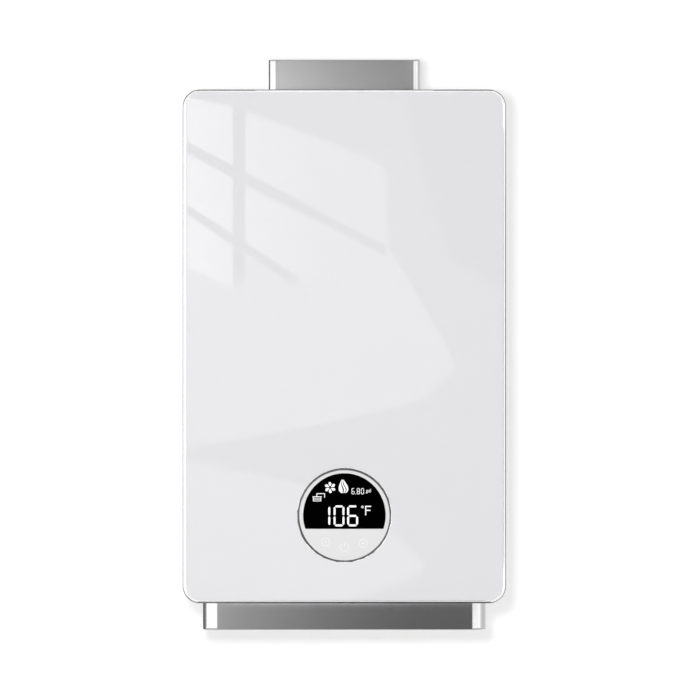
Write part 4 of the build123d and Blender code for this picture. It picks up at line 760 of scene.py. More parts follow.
def digit_outlines(figure, left, top, size, stroke, gap):
    """Outlines of a seven-segment figure.

    A segment is a bar whose ends are cut at 45 degrees: half its length out from its middle at the tips, and
    half a stroke less at its two long sides."""
    centre_x, centre_z = on_display(left + size[0] / 2, top - size[1] / 2)
    width, height, gap = size[0] * MM, size[1] * MM, gap * MM
    half_wide, half_high = (width - stroke) / 2, (height - stroke) / 4
    outlines = []
    for name in SEGMENTS[figure]:
        across, up, upright = SEGMENT_PLACES[name]
        tip = (half_high if upright else half_wide) - gap
        side, half = tip - stroke / 2, stroke / 2
        line = np.array([(-tip, 0), (-side, -half), (side, -half), (tip, 0), (side, half), (-side, half)])
        if upright:
            line = line[::-1, ::-1]
        outlines.append(line + (centre_x + across * half_wide, centre_z + up * half_high))
    return outlines


def petal_outline(centre, reach, width, turn, hub):
    """A fan blade: along its length t from 0 to 1 its half width is a tenth of width plus width times
    sin(pi t^1.5)^0.8, swept aside by t squared."""
    along = np.linspace(0.04, 0.97, 10)
    half = width * np.sin(np.pi * along**1.5) ** 0.8 + 0.1 * width
    bend = 0.35 * width * along**2
    radius = hub + (reach - hub) * along
    line = np.concatenate([np.stack([radius, half + bend], -1), np.stack([radius, -half + bend], -1)[::-1]])
    cos, sin = np.cos(turn), np.sin(turn)
    return line @ np.array([[cos, sin], [-sin, cos]]) + centre


def flame_outlines(centre, width, height):
    """A flame in three tongues.

    The flame is a drop whose half width is sin(pi t^0.62)^0.85, leaning aside near its tip. A tongue fills
    the drop between two shares of its width, and the shares bend by sin(2 pi t), so the slits curl."""
    t = np.linspace(0, 0.985, 22)
    half = width / 2 * np.sin(np.pi * t**0.62) ** 0.85
    lean = -0.13 * width * t**2
    z = (t - 0.5) * height
    tongues = []
    for left, right in ((0.0, 0.30), (0.41, 0.60), (0.71, 1.0)):
        curl = 0.14 * np.sin(TURN * t)
        shares = [share + curl * np.sin(np.pi * share) for share in (left, right)]
        edges = [np.stack([lean + half * (2 * share - 1), z], -1) for share in shares]
        tongues.append(np.concatenate([edges[1][1:-1], edges[0][1:-1][::-1]]) + centre)
    return tongues


class HEATER_OT_display(bpy.types.Operator):
    """Makes the ring, the lens with its touch keys, the smoked window, its digits and its signs"""

    bl_idname = "heater.display"
    bl_label = "Display"

    def execute(self, context):
        low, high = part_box("display_lens")
        face, back = low.y, high.y
        inner = size_of("display_ring")[0] / 2 - RING_WIDTH * MM
        lens_face = face + LENS_SUNK * MM
        self.ring(face, back, inner)
        self.plates(lens_face, back, inner)
        sunk, proud = lens_face + SIGNS_SUNK * MM, lens_face - SIGNS_PROUD * MM
        self.signs(context.scene.heater_display, sunk, proud)
        self.small_unit(*on_display(*FLOW_UNIT_PLACE), sunk, proud)
        self.keys(sunk, proud)
        return {"FINISHED"}

    def ring(self, face, back, inner):
        """The ring: its crown is half an ellipse, and a groove behind it holds the lens."""
        outer, seat = size_of("display_ring")[0] / 2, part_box("display_ring")[1].y
        groove, groove_end = 44.3 * MM, back + 1 * MM
        half, rise = (outer - inner) / 2, 0.55 * MM
        turns = np.linspace(0, np.pi, 13)
        crown = [(outer - half + half * np.cos(a), face + rise * (1 - np.sin(a))) for a in turns]
        profile = [(outer, seat), *crown, (inner, back), (groove, back), (groove, groove_end)]
        profile += [(inner, groove_end), (inner, seat)]
        ring = skin(lathe(profile, on_display(0, 0), "y", 160), True, True)
        make_piece("display_ring_turned", [ring], ["ring"], ["display_ring"], sharp=35)

    def plates(self, face, back, inner):
        """The lens and the window in it.

        The window's outline is a circle cut off by a level line, reach(angle) from the middle: the radius,
        raised by up to 0.9 mm at the top, or level / sin(angle) below. The lens ends at that outline."""
        x0, z0 = on_display(0, 0)
        radius = size_of("display_window")[0] / 2 + 0.4 * MM
        level_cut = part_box("display_window")[0].z - z0
        foot = np.arcsin(level_cut / radius)
        upper, lower = np.linspace(foot, np.pi - foot, 97), np.linspace(np.pi - foot, TURN + foot, 41)[1:-1]
        angle = np.concatenate([upper, lower])
        to_level = level_cut / np.minimum(np.sin(angle), -TINY)
        reach = np.where(np.sin(angle) < np.sin(foot) - TINY, to_level, radius)
        reach += 0.9 * MM * np.clip(np.sin(angle), 0, 1) ** 2
        across, up = np.cos(angle)[None], np.sin(angle)[None]

        def plate(distance, depth):
            return np.stack([x0 + distance * across, depth + 0 * distance, z0 + distance * up], -1)

        gap, flat_from = 0.05 * MM, 0.35 * MM
        rows = [
            (1, inner - 0.1 * MM, back), (1, inner - 0.1 * MM, face + 0.2 * MM),
            (1, inner - 0.2 * MM, face + 0.04 * MM), (1, inner - flat_from, face),
            (1, inner - 0.5 * MM, face), (0.5, inner - 0.5 * MM, face),
            (0, flat_from, face), (0, 0.2 * MM, face), (0, gap, face + 0.1 * MM), (0, gap, back),
        ]
        share, size, depth = (np.array(column)[:, None] for column in zip(*rows))
        inwards = reach[None] + np.where(share < 1, np.minimum(size, flat_from), 0)
        lens = plate(share * size + (1 - share) * inwards, depth)
        make_piece("touch_lens", [skin(lens, True, True)], ["lens"], ["display_lens"], sharp=25)
        rows = [(share, face) for share in (0.0, 0.5, 0.99, 0.997)]
        rows += [(0.999, face + 0.02 * MM), (1.0, face + 0.08 * MM), (1.0, back), (0.0, back)]
        share, depth = (np.array(column)[:, None] for column in zip(*rows))
        window = skin(plate(share * reach[None], depth), False, True)
        make_piece("smoked_window", [window], ["window"], ["display_window"], sharp=25)

    def signs(self, sizes, low, high):
        """The two readings with their units, and the fan, the flame and the shower."""
        lines = []
        for figure, left in zip(sizes.reading[:3], READING_LEFTS):
            lines += digit_outlines(figure, left, READING_TOP, READING_SIZE, sizes.stroke, READING_GAP)
        for figure, left in zip(sizes.flow[:3], FLOW_LEFTS):
            lines += digit_outlines(figure, left, FLOW_TOP, FLOW_SIZE, FLOW_STROKE * MM, FLOW_GAP)
        lines += [display_bar(*bar) for bar in (FLOW_DOT, *LETTER_F)]
        reach, width, hub = PETAL_REACH * MM, PETAL_WIDTH * MM, FAN_HUB * MM
        for turn in SIXTH / 2 + SIXTH * np.arange(6):
            lines.append(petal_outline(on_display(*FAN_PLACE), reach, width, turn, hub))
        shapes = [raised(line, low, high) for line in lines]
        inner, outer = np.array(DEGREE_RADII) * MM
        shapes.append(raised_band(on_display(*DEGREE_PLACE), inner, outer, low, high, steps=24))
        flame = flame_outlines(on_display(*FLAME_PLACE), *np.array(FLAME_SIZE) * MM)
        shower = [display_bar(*bar) for bar in SHOWER_TRAY + SHOWER_PIPE]
        shapes += [raised(line, low, high) for line in flame + shower]
        make_piece("lit_segments", shapes, ["segments"], sharp=20)

    def small_unit(self, x, z, low, high):
        """The unit beside the small reading: built-in letters turned into a mesh, then put in place."""
        words = bpy.data.curves.new("flow_unit_line", "FONT")
        words.body = "gal"
        words.size = FLOW_UNIT_SIZE * MM
        words.extrude = (low - high) / 2
        carrier = bpy.data.objects.new("flow_unit_line", words)
        bpy.context.scene.collection.objects.link(carrier)
        mesh = bpy.data.meshes.new_from_object(carrier.evaluated_get(bpy.context.evaluated_depsgraph_get()))
        bpy.data.objects.remove(carrier)
        points = np.zeros(len(mesh.vertices) * 3)
        mesh.vertices.foreach_get("co", points)
        points = points.reshape(-1, 3)
        placed = np.stack([x + points[:, 0], (low + high) / 2 - points[:, 2], z + points[:, 1]], -1)
        mesh.vertices.foreach_set("co", placed.ravel())
        mesh.materials.clear()
        shape = bmesh.new()
        shape.from_mesh(mesh)
        bmesh.ops.remove_doubles(shape, verts=shape.verts, dist=MERGED_WITHIN / 2)
        bmesh.ops.recalc_face_normals(shape, faces=shape.faces)
        shape.to_mesh(mesh)
        shape.free()
        settle("flow_unit", mesh, ["segments"], sharp=20)

    def keys(self, low, high):
        """The minus, power and plus signs. The plus's upright bar stands a hair proud of the level one."""
        inner, outer = np.array(KEY_RADII) * MM
        rings = [
            raised_band(on_display(*key), inner, outer, low, high, *arc)
            for key, arc in ((MINUS_KEY, ()), (POWER_KEY, POWER_ARC), (PLUS_KEY, ()))
        ]
        bars = [raised(display_bar(*key, KEY_BAR, KEY_STROKE), low, high) for key in (MINUS_KEY, PLUS_KEY)]
        hair = 0.005 * MM
        bars.append(raised(display_bar(*PLUS_KEY, KEY_STROKE, KEY_BAR), low - hair, high - hair))
        bars.append(raised(display_bar(*POWER_BAR), low, high))
        make_piece("key_signs", rings + bars, ["keys"], sharp=20)


# ---------------------------------------------------------------- case and hood
# Node, finish, slot, and width of its eased edges in millimetres.
EASED_PLATES = (
    ("rear_shell", "case", "stainless", 0.2),
    ("top_plate", "case", "stainless", 0.3),
    ("floor_plate", "zinc", "galvanised", 0.2),
    ("wall_bracket", "zinc", "galvanised", 0.35),
    ("foot_bracket", "zinc", "galvanised", 0.35),
    ("hood_gasket", "rubber", "gasket", 0.3),
)


def case_path(half, front, corner, rear, inset, bend=22):
    """Plan of the case's front half: one side, round the corner, across, and round to the other side.

    A corner is its centre plus (corner - inset) times (cos, sin) over a quarter turn. One row per inset."""
    inset = np.atleast_1d(np.asarray(inset, float))[:, None]
    radius = corner - inset
    angle = np.linspace(0, -QUARTER, bend + 1)[None]
    right = np.stack([half - corner + radius * np.cos(angle), front + corner + radius * np.sin(angle)], -1)
    left = right[:, ::-1] * (-1, 1)
    far = np.stack([half - inset, rear + 0 * inset], -1)
    return np.concatenate([far, right, left, far * (-1, 1)], axis=1)


class HEATER_OT_case(bpy.types.Operator):
    """Makes the folded front cover, and eases the edges of the shell, the plates and the brackets"""

    bl_idname = "heater.case"
    bl_label = "Case"

    def execute(self, context):
        sizes = context.scene.heater_steel
        low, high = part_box("front_cover")
        wall, top = sizes.sheet, high.z
        fold = 0.9 * wall
        rows = [(0, top - wall / 5), (0, top - 2 * wall), (0, 2.2 * wall)]
        rows += [(fold * (1 - np.cos(a)), fold * (1 - np.sin(a))) for a in np.linspace(0, QUARTER, 5)[:-1]]
        rows += [(fold, 0.0), (wall, 0.35 * wall), (wall, top), (wall / 5, top)]
        hem = [(fold, 0.0), (7 * wall, 0.0), (7 * wall, wall), (fold, wall)]
        skins = []
        for line, rear in ((rows, high.y), (hem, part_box("rear_shell")[0].y - 0.2 * MM)):
            inset, height = np.array(line).T
            plan = case_path(high.x, low.y, sizes.case_corner, rear, inset)
            skins.append(skin(np.dstack([plan, height[:, None] + 0 * plan[..., 0]]), True, close_ends=True))
        make_piece("folded_cover", skins, ["case"], ["front_cover"], sharp=50)
        for solid, finish_name, slot, width in EASED_PLATES:
            eased_copy(solid, finish_name, width * MM)
        return {"FINISHED"}


class HEATER_OT_hood(bpy.types.Operator):
    """Makes the flue hood and the collar in it"""

    bl_idname = "heater.hood"
    bl_label = "Flue hood"
    box_width = 160 * MM
    pipe = 31.0 * MM

    def execute(self, context):
        sizes = context.scene.heater_steel
        self.hood(sizes, sizes.sheet, self.pipe)
        self.collar(sizes.sheet, self.pipe)
        return {"FINISHED"}

    def hood(self, sizes, wall, pipe):
        """Flange, root bend, upright wall, top fold and the collar's hole, then back inside to the flange."""
        low, high = (corner.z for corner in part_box("flue_hood"))
        width, depth, _ = size_of("flue_hood")
        step = (width - self.box_width) / 2
        fold, root, inside = 0.9 * wall, 1.2 * wall, step + wall
        turns = np.linspace(0, QUARTER, 6)
        rows = [(0, inside, 0, low), (0, 0.15 * wall, 0, low), (0, 0, 0, low + 0.3 * wall)]
        rows += [(0, 0, 0, low + 0.8 * wall), (0, 0.2 * wall, 0, low + wall)]
        rows += [(0, step - root * (1 - np.sin(a)), 0, low + wall + root * (1 - np.cos(a))) for a in turns]
        rows += [(0, step, 0, low + 4 * wall), (0, step, 0, high - 3 * wall)]
        rows += [(0, step + fold * (1 - np.cos(a)), 0, high - fold * (1 - np.sin(a))) for a in turns]
        rows += [(0, step + 3 * fold, 0, high)]
        rows += [(share, step + fold, pipe + 0.4 * wall, high) for share in (0.4, 0.8, 1)]
        rows += [(1, 0, pipe + 0.1 * wall, high - 0.3 * wall), (1, 0, pipe + 0.1 * wall, high - wall)]
        rows += [(0, inside, 0, high - wall)]
        share, inset, radius, height = np.array(rows, float).T
        outline = round_rectangle((width, depth), sizes.hood_corner + step, inset, bend=20, straight=8)
        flat = drawn_to_circle(outline, share, radius, np.zeros(2))
        grid = np.dstack([flat + HOOD_MIDDLE[:2], height[:, None] + 0 * flat[..., 0]])
        make_piece("folded_hood", [skin(grid, True, True)], ["hood"], ["flue_hood"], sharp=50)

    def collar(self, wall, pipe):
        """The collar: a sleeve with a rounded lip and a flat ring that rests on the hood."""
        foot, lip = (corner.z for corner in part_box("flue_collar"))
        ring, bore, round_off = size_of("flue_collar")[0] / 2, pipe - 0.7 * wall, 0.15 * wall
        under, over, ring_edge = lip - 2 * wall, lip - 1.2 * wall, lip - 1.7 * wall
        shoulder = lip - 0.2 * wall
        profile = [
            (pipe, foot), (pipe, under), (ring - 0.3 * wall, under), (ring, ring_edge), (ring, over),
            (pipe, over), (pipe, shoulder), (pipe - round_off, lip), (bore + round_off, lip),
            (bore, shoulder), (bore, foot),
        ]
        turned = skin(lathe(profile, HOOD_MIDDLE[:2], steps=120), True, True)
        make_piece("flue_collar_rolled", [turned], ["hood"], ["flue_collar"], sharp=35)


# ---------------------------------------------------------------- connections
def hexagon(radius, angle):
    """Radius of a hexagon: that of its flats over the cosine of the angle from the nearest flat."""
    from_flat = (angle + SIXTH / 2) % SIXTH - SIXTH / 2
    return radius / np.cos(from_flat)


class HEATER_OT_connections(bpy.types.Operator):
    """Makes the three threaded connections, the drain knob and the cord's gland"""

    bl_idname = "heater.connections"
    bl_label = "Connections"
    thread_rows = 132
    thread_length = 21.5 * MM

    def execute(self, context):
        sizes = context.scene.heater_ports
        for name, solid in (("gas_union", "gas_inlet_union"), ("hot_union", "hot_outlet_union")):
            low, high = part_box(solid)
            union = self.union(middle_of(solid)[:2], low.z, high.z, sizes)
            make_piece(name, [union], ["brass"], [solid], sharp=38)
        eased_copy("cold_inlet_body", "brass", 0.15 * MM)
        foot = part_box("cold_inlet_body")[0].z
        turns = self.thread(middle_of("flow_sensor_cap")[:2], foot, sizes, sizes.thread + 0.15 * MM)
        make_piece("cold_thread", [turns], ["brass"], sharp=60)
        self.knob(sizes)
        eased_copy("cord_gland", "black", 0.3 * MM)
        return {"FINISHED"}

    def thread_radius(self, height, angle, foot, sizes, crest):
        """Crest radius less the depth times a rounded zigzag of (height / pitch - angle / turn), less a taper
        that fades over the first 0.8 of a pitch."""
        phase = (height - foot) / sizes.pitch - angle / TURN
        groove = np.abs((phase % 1) * 2 - 1)
        lead = np.clip((height - foot) / (0.8 * sizes.pitch), 0, 1)
        return crest - sizes.depth * np.clip(groove * 1.3 - 0.15, 0, 1) - 0.9 * MM * (1 - lead)

    def thread(self, centre, foot, sizes, crest, inner=8.6 * MM):
        """A sleeve of thread over the lower end of a connection."""
        end = foot + self.thread_length + 0.1 * MM
        heights = np.linspace(foot + 0.05 * MM, end, self.thread_rows)
        profile = [(crest, z) for z in heights] + [(inner, heights[-1]), (inner, heights[0])]

        def shape(radius, height, angle):
            turned = self.thread_radius(height, angle, foot, sizes, crest)
            turned[self.thread_rows:] = radius[self.thread_rows:]
            return turned

        return skin(lathe(profile, centre, steps=72, shape=shape), True, True)

    def union(self, centre, foot, top, sizes):
        """A whole connection in one skin: thread, collar, hexagon with chamfered corners, neck and bore."""
        collar, bore = sizes.thread + 0.3 * MM, 7.0 * MM
        flat, tall, chamfer = 13.5 * MM, 10 * MM, 1.4 * MM
        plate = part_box("floor_plate")[0].z + 1 * MM
        last = foot + self.thread_length
        profile = [(sizes.thread, z) for z in np.linspace(foot, last, self.thread_rows)]
        profile += [(collar - 0.2 * MM, last + 0.3 * MM), (collar, last + 0.6 * MM), (collar, plate)]
        start = len(profile)
        profile += [(flat, plate + z * MM) for z in (0.0, 0.7, 1.5, 5.0, 8.5, 9.3, 10.0)]
        end = len(profile)
        profile += [(sizes.thread, plate + tall), (sizes.thread, top), (bore, top)]
        profile += [(bore, foot + 1 * MM), (bore + 0.8 * MM, foot)]

        def shape(radius, height, angle):
            radius, cut, nut = radius.copy(), slice(0, self.thread_rows), slice(start, end)
            radius[cut] = self.thread_radius(height[cut], angle[cut], foot, sizes, sizes.thread)
            from_face = np.minimum(height[nut] - plate, plate + tall - height[nut])
            cone = flat / np.cos(SIXTH / 2) - chamfer + from_face * 1.6
            radius[nut] = np.minimum(hexagon(radius[nut], angle[nut]), np.maximum(cone, flat * 0.99))
            return radius

        return skin(lathe(profile, centre, steps=96, shape=shape), True, True)

    def knob(self, sizes):
        """The drain knob: radius less a flute's depth times |cos(flutes * angle / 2)|^6 and the cube of how
        far out the point lies between the knob's inside and its grip."""
        foot, head = (corner.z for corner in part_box("drain_cap"))
        grip, inside, floor = size_of("drain_cap")[0] / 2, 6.1 * MM, foot + 5 * MM
        rim, axle = 0.9 * MM, 1.0 * MM
        profile = [(axle, foot), (grip - rim - 0.4 * MM, foot)]
        profile += [
            (grip - rim + rim * np.sin(a), foot + rim * (1 - np.cos(a))) for a in np.linspace(0, QUARTER, 5)
        ]
        profile += [(grip, foot + share * (head - foot)) for share in (0.3, 0.5, 0.7, 0.85)]
        profile += [(grip - 0.5 * MM, head), (inside, head), (inside, floor), (axle, floor)]

        def shape(radius, height, angle):
            share = np.clip((radius - inside) / (grip - inside), 0, 1) ** 3
            return radius - 0.9 * MM * share * np.abs(np.cos(sizes.flutes * angle / 2)) ** 6

        knob = skin(lathe(profile, middle_of("drain_cap")[:2], steps=144, shape=shape), True, True)
        make_piece("drain_knob", [knob], ["knob"], ["drain_cap"], sharp=45, body="drain_grip")


# ---------------------------------------------------------------- screws and inner parts
SCREW_RADIUS, SCREW_HEIGHT, SCREW_RECESS = 3.6 * MM, 1.6 * MM, 0.9 * MM
COVER_SCREW_HEIGHTS = (70 * MM, 290 * MM, 510 * MM)
HOOD_SCREW_PLACES = [(across * MM, along * MM) for across in (-84.5, 84.5) for along in (-44, 44)]
SPRINGS = {"shutoff_spring": ("shutoff_travel", 3 * MM), "modulator_spring": ("modulator_travel", 2.5 * MM)}


def pan_head(radius, height, recess, around=48):
    """A pan head with a cross recess, in its own frame with its seat at zero.

    The dome's height is height times (1 - (r / radius)^4)^0.5; inside the cross, where |x| or |y| is under
    its half width and r under its reach, the recess is taken off through a soft step."""
    r = np.concatenate([np.linspace(0, 0.72, 15), np.linspace(0.78, 1, 8)])[:, None] * radius
    angle = np.linspace(0, TURN, around, endpoint=False)[None]
    x, y = r * np.cos(angle), r * np.sin(angle)
    dome = height * np.sqrt(np.clip(1 - (r / radius) ** 4, 0, 1)) + 0 * angle
    arm, reach = 0.14 * radius, 0.62 * radius
    near = np.minimum(np.abs(x), np.abs(y))
    cut = np.clip((arm * 1.35 - near) / (arm * 0.7), 0, 1) * np.clip((reach - r) / (0.12 * radius), 0, 1)
    top = np.stack([x, y, dome - recess * cut], -1)
    return np.concatenate([top, np.zeros_like(top[:1])])


class HEATER_OT_screws(bpy.types.Operator):
    """Makes the screws of the cover and the hood"""

    bl_idname = "heater.screws"
    bl_label = "Screws"

    def execute(self, context):
        head = pan_head(SCREW_RADIUS, SCREW_HEIGHT, SCREW_RECESS)
        x, y, z = head[..., 0], head[..., 1], head[..., 2]
        case_side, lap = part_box("front_cover")[1].x, middle_of("cover_screws")[1]
        cover = [
            np.stack([side * (case_side + z), lap + x, up + y], -1)
            for side in (-1, 1) for up in COVER_SCREW_HEIGHTS
        ]
        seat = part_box("flue_hood")[0].z + 1 * MM
        hood = [
            head + np.array([HOOD_MIDDLE[0] + across, HOOD_MIDDLE[1] + along, seat])
            for across, along in HOOD_SCREW_PLACES
        ]
        for name, heads, solid in (
            ("cover_screw_heads", cover, "cover_screws"), ("hood_screw_heads", hood, "hood_screws"),
        ):
            skins = [skin(grid, False, True) for grid in heads]
            make_piece(name, skins, ["screw"], [solid], sharp=45)
        return {"FINISHED"}


class HEATER_OT_inner_parts(bpy.types.Operator):
    """Gives every solid inside the case its finish, and makes a finished copy of each valve's spring in its
    place
    """

    bl_idname = "heater.inner_parts"
    bl_label = "Inner parts"

    def execute(self, context):
        for finish_name, names in INNER_PARTS.items():
            for name in names:
                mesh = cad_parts[name].data
                mesh.materials.clear()
                mesh.materials.append(FINISHES[finish_name])
        for name, (joint, travel) in SPRINGS.items():
            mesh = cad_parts[name].data.copy()
            mesh.materials.clear()
            coil = settle(name + "_coil", mesh, ["bright"], [name], sharp=60)
            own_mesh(coil)
        return {"FINISHED"}


# ---------------------------------------------------------------- stage
EYE_X, EYE_Z = 0.0059, 0.2942
LAMP_AIM = (0, 0, 0.3)
MIRRORED_ROOM = 0.8
NEAR_WALL = 0.02
FLOOR_DROP = 0.35
PLAIN_WHITE, LAMPLIT_WHITE = (0.8, 0.8, 0.8, 1), (0.6, 0.6, 0.6, 1)
FALL_POWER = 1.7
# The window's panes and bars and the room's light, where the glass mirrors them: mm from its middle.
PANES = [
    [(-165, 262), (-117, 251), (-117, 190), (-165, 215)],
    [(-165, 203), (-117, 177), (-117, 118), (-165, 149)],
    [(-165, 139), (-117, 106), (-117, 61), (-165, 83)],
    [(-104, 244), (-1, 209), (44, 187), (44, 106), (-104, 180)],
    [(-104, 168), (44, 94), (44, 48), (-50, 74), (-104, 108)],
]
BARS = [
    [(-117, 252), (-104, 248), (-104, 68), (-117, 62)],
    [(-165, 215), (-117, 190), (44, 106), (44, 94), (-117, 177), (-165, 203)],
    [(-165, 149), (-117, 118), (-50, 74), (-50, 62), (-117, 106), (-165, 139)],
]
ROOM_LIGHT = [
    [
        (-167, 263), (-117, 252), (-1, 210), (42, 187), (46, 105), (80, 48), (119, -22), (80, -57),
        (-26, -82), (-167, -108),
    ],
    [(-167, -118), (-104, -132), (-38, -147), (50, -195), (84, -225), (80, -240), (6, -267), (-167, -270)],
]
ROOM_SHADE = [(60, 262), (165, 262), (165, 60), (112, 95)]
# Strengths of the cards that shine evenly, beside the one of the sidebar.
CARD_LEVELS = (0.02, 0.3, 0.45, 0.6, 1.0, 1.5, 1.9, 3.0)
LOW, MIDDLE, HIGH = (-0.1, 0.03), (0.03, 0.56), (0.56, 0.72)
# Each card runs from side to side in x and from one edge to the other, both (y, z). It shines with one
# strength, or with a fall: its name, the two places in x, and the strength at each.
CARDS = (
    ("hood_card", (-0.08, 0.08), (-0.3, 0.5735), (-0.3, 0.75), ("Hood Fall", -0.08, 0.08, 1.075, 0.575)),
    (
        "skirt_card", (-0.1425, 0.1494), (-0.12, -0.1), (-0.12, 0.0269),
        ("Skirt Fall", -0.16, 0.10, 0.805, 0.242),
    ),
    ("lower_flag", (-0.166, 0.188), (-0.3, -0.1), (-0.12, -0.33), 0.45),
    ("under_card", (-0.2, 0.2), (-0.11, -0.33), (-0.03, -0.33), 1.0),
    ("side_flag", (-0.47, -0.155), (0.06, -0.3), (0.06, 0.9), 0.3),
    ("low_level_flag", (-0.2, 0.2), (0, -0.33), (0.07, -0.33), 0.02),
    ("low_upright_flag", (-0.2, 0.2), (0.07, -0.08), (0.07, -0.33), 0.02),
    ("high_left_level_flag", (-0.2, -0.095), (0, 0.8), (0.07, 0.8), 0.02),
    ("high_left_upright_flag", (-0.2, -0.095), (0.07, 0.66), (0.07, 0.8), 0.02),
    ("high_right_level_flag", (0.095, 0.2), (0, 0.8), (0.07, 0.8), 0.02),
    ("high_right_upright_flag", (0.095, 0.2), (0.07, 0.66), (0.07, 0.8), 0.02),
    ("rear_card", (-2, 2), (1.5, -0.6), (1.5, 1.8), ("Rear Fall", 0.7, -0.7, 1.9, 0.4)),
)


def stage_sheet(name, corners, material):
    """A flat sheet of the stage from its corners."""
    mesh = bpy.data.meshes.new(name)
    mesh.from_pydata([tuple(corner) for corner in corners], [], [list(range(len(corners)))])
    mesh.materials.append(material)
    sheet = bpy.data.objects.new(name, mesh)
    bpy.context.scene.collection.objects.link(sheet)
    return sheet


def card(name, corners, material):
    """A sheet that shows in reflections and nowhere else."""
    sheet = stage_sheet(name, corners, material)
    for ray in ("camera", "diffuse", "transmission", "shadow", "volume_scatter"):
        setattr(sheet, "visible_" + ray, False)


def between(sides, near, far):
    """Corners of a sheet from side to side in x, and from one edge to the other, both (y, z)."""
    return [(sides[0], *near), (sides[1], *near), (sides[1], *far), (sides[0], *far)]


def backdrop_material(name, own_light):
    """Seen directly, in gloss or through glass it is its own light plus some of the lamps'; other rays meet
    plain white.

    From behind it lets every ray through, and so it does for a mirrored ray that starts close to it."""
    material, tree, shown = blank_material(name, "ShaderNodeMixShader")
    ray = node(tree, "ShaderNodeLightPath").outputs
    behind = node(tree, "ShaderNodeNewGeometry").outputs["Backfacing"]
    near = maths(tree, "LESS_THAN", ray["Ray Length"], NEAR_WALL)
    unseen = maths(tree, "MAXIMUM", maths(tree, "MULTIPLY", near, ray["Is Glossy Ray"]), behind)
    direct = maths(tree, "MAXIMUM", ray["Is Camera Ray"], ray["Is Glossy Ray"])
    direct_or_glass = maths(tree, "MAXIMUM", direct, ray["Is Transmission Ray"])
    plain = node(tree, "ShaderNodeBsdfDiffuse", in_Color=PLAIN_WHITE).outputs[0]
    lamps_part = node(tree, "ShaderNodeBsdfDiffuse", in_Color=LAMPLIT_WHITE).outputs[0]
    own_part = node(tree, "ShaderNodeEmission", in_Strength=own_light).outputs[0]
    both = node(tree, "ShaderNodeAddShader", in_0=lamps_part, in_1=own_part).outputs[0]
    solid = node(tree, "ShaderNodeMixShader", in_0=direct_or_glass, in_1=plain, in_2=both).outputs[0]
    through = node(tree, "ShaderNodeBsdfTransparent").outputs[0]
    for place, value in enumerate((unseen, solid, through)):
        wire(tree, value, shown.inputs[place])
    return material


def card_material(name, start, end, at_start, at_end):
    """A card that shines from one strength to another between two places across.

    The strength is the second one plus the difference times (1 - share of the way)^1.7."""
    material, tree, glow = blank_material(name, "ShaderNodeEmission")
    across = node(tree, "ShaderNodeSeparateXYZ", in_0=place_on(tree)).outputs["X"]
    left = node(tree, "ShaderNodeMapRange", in_Value=across, in_From_Min=end, in_From_Max=start).outputs[0]
    bend = maths(tree, "POWER", left, FALL_POWER)
    wire(tree, maths(tree, "MULTIPLY_ADD", bend, at_start - at_end, at_end), glow.inputs["Strength"])
    return material


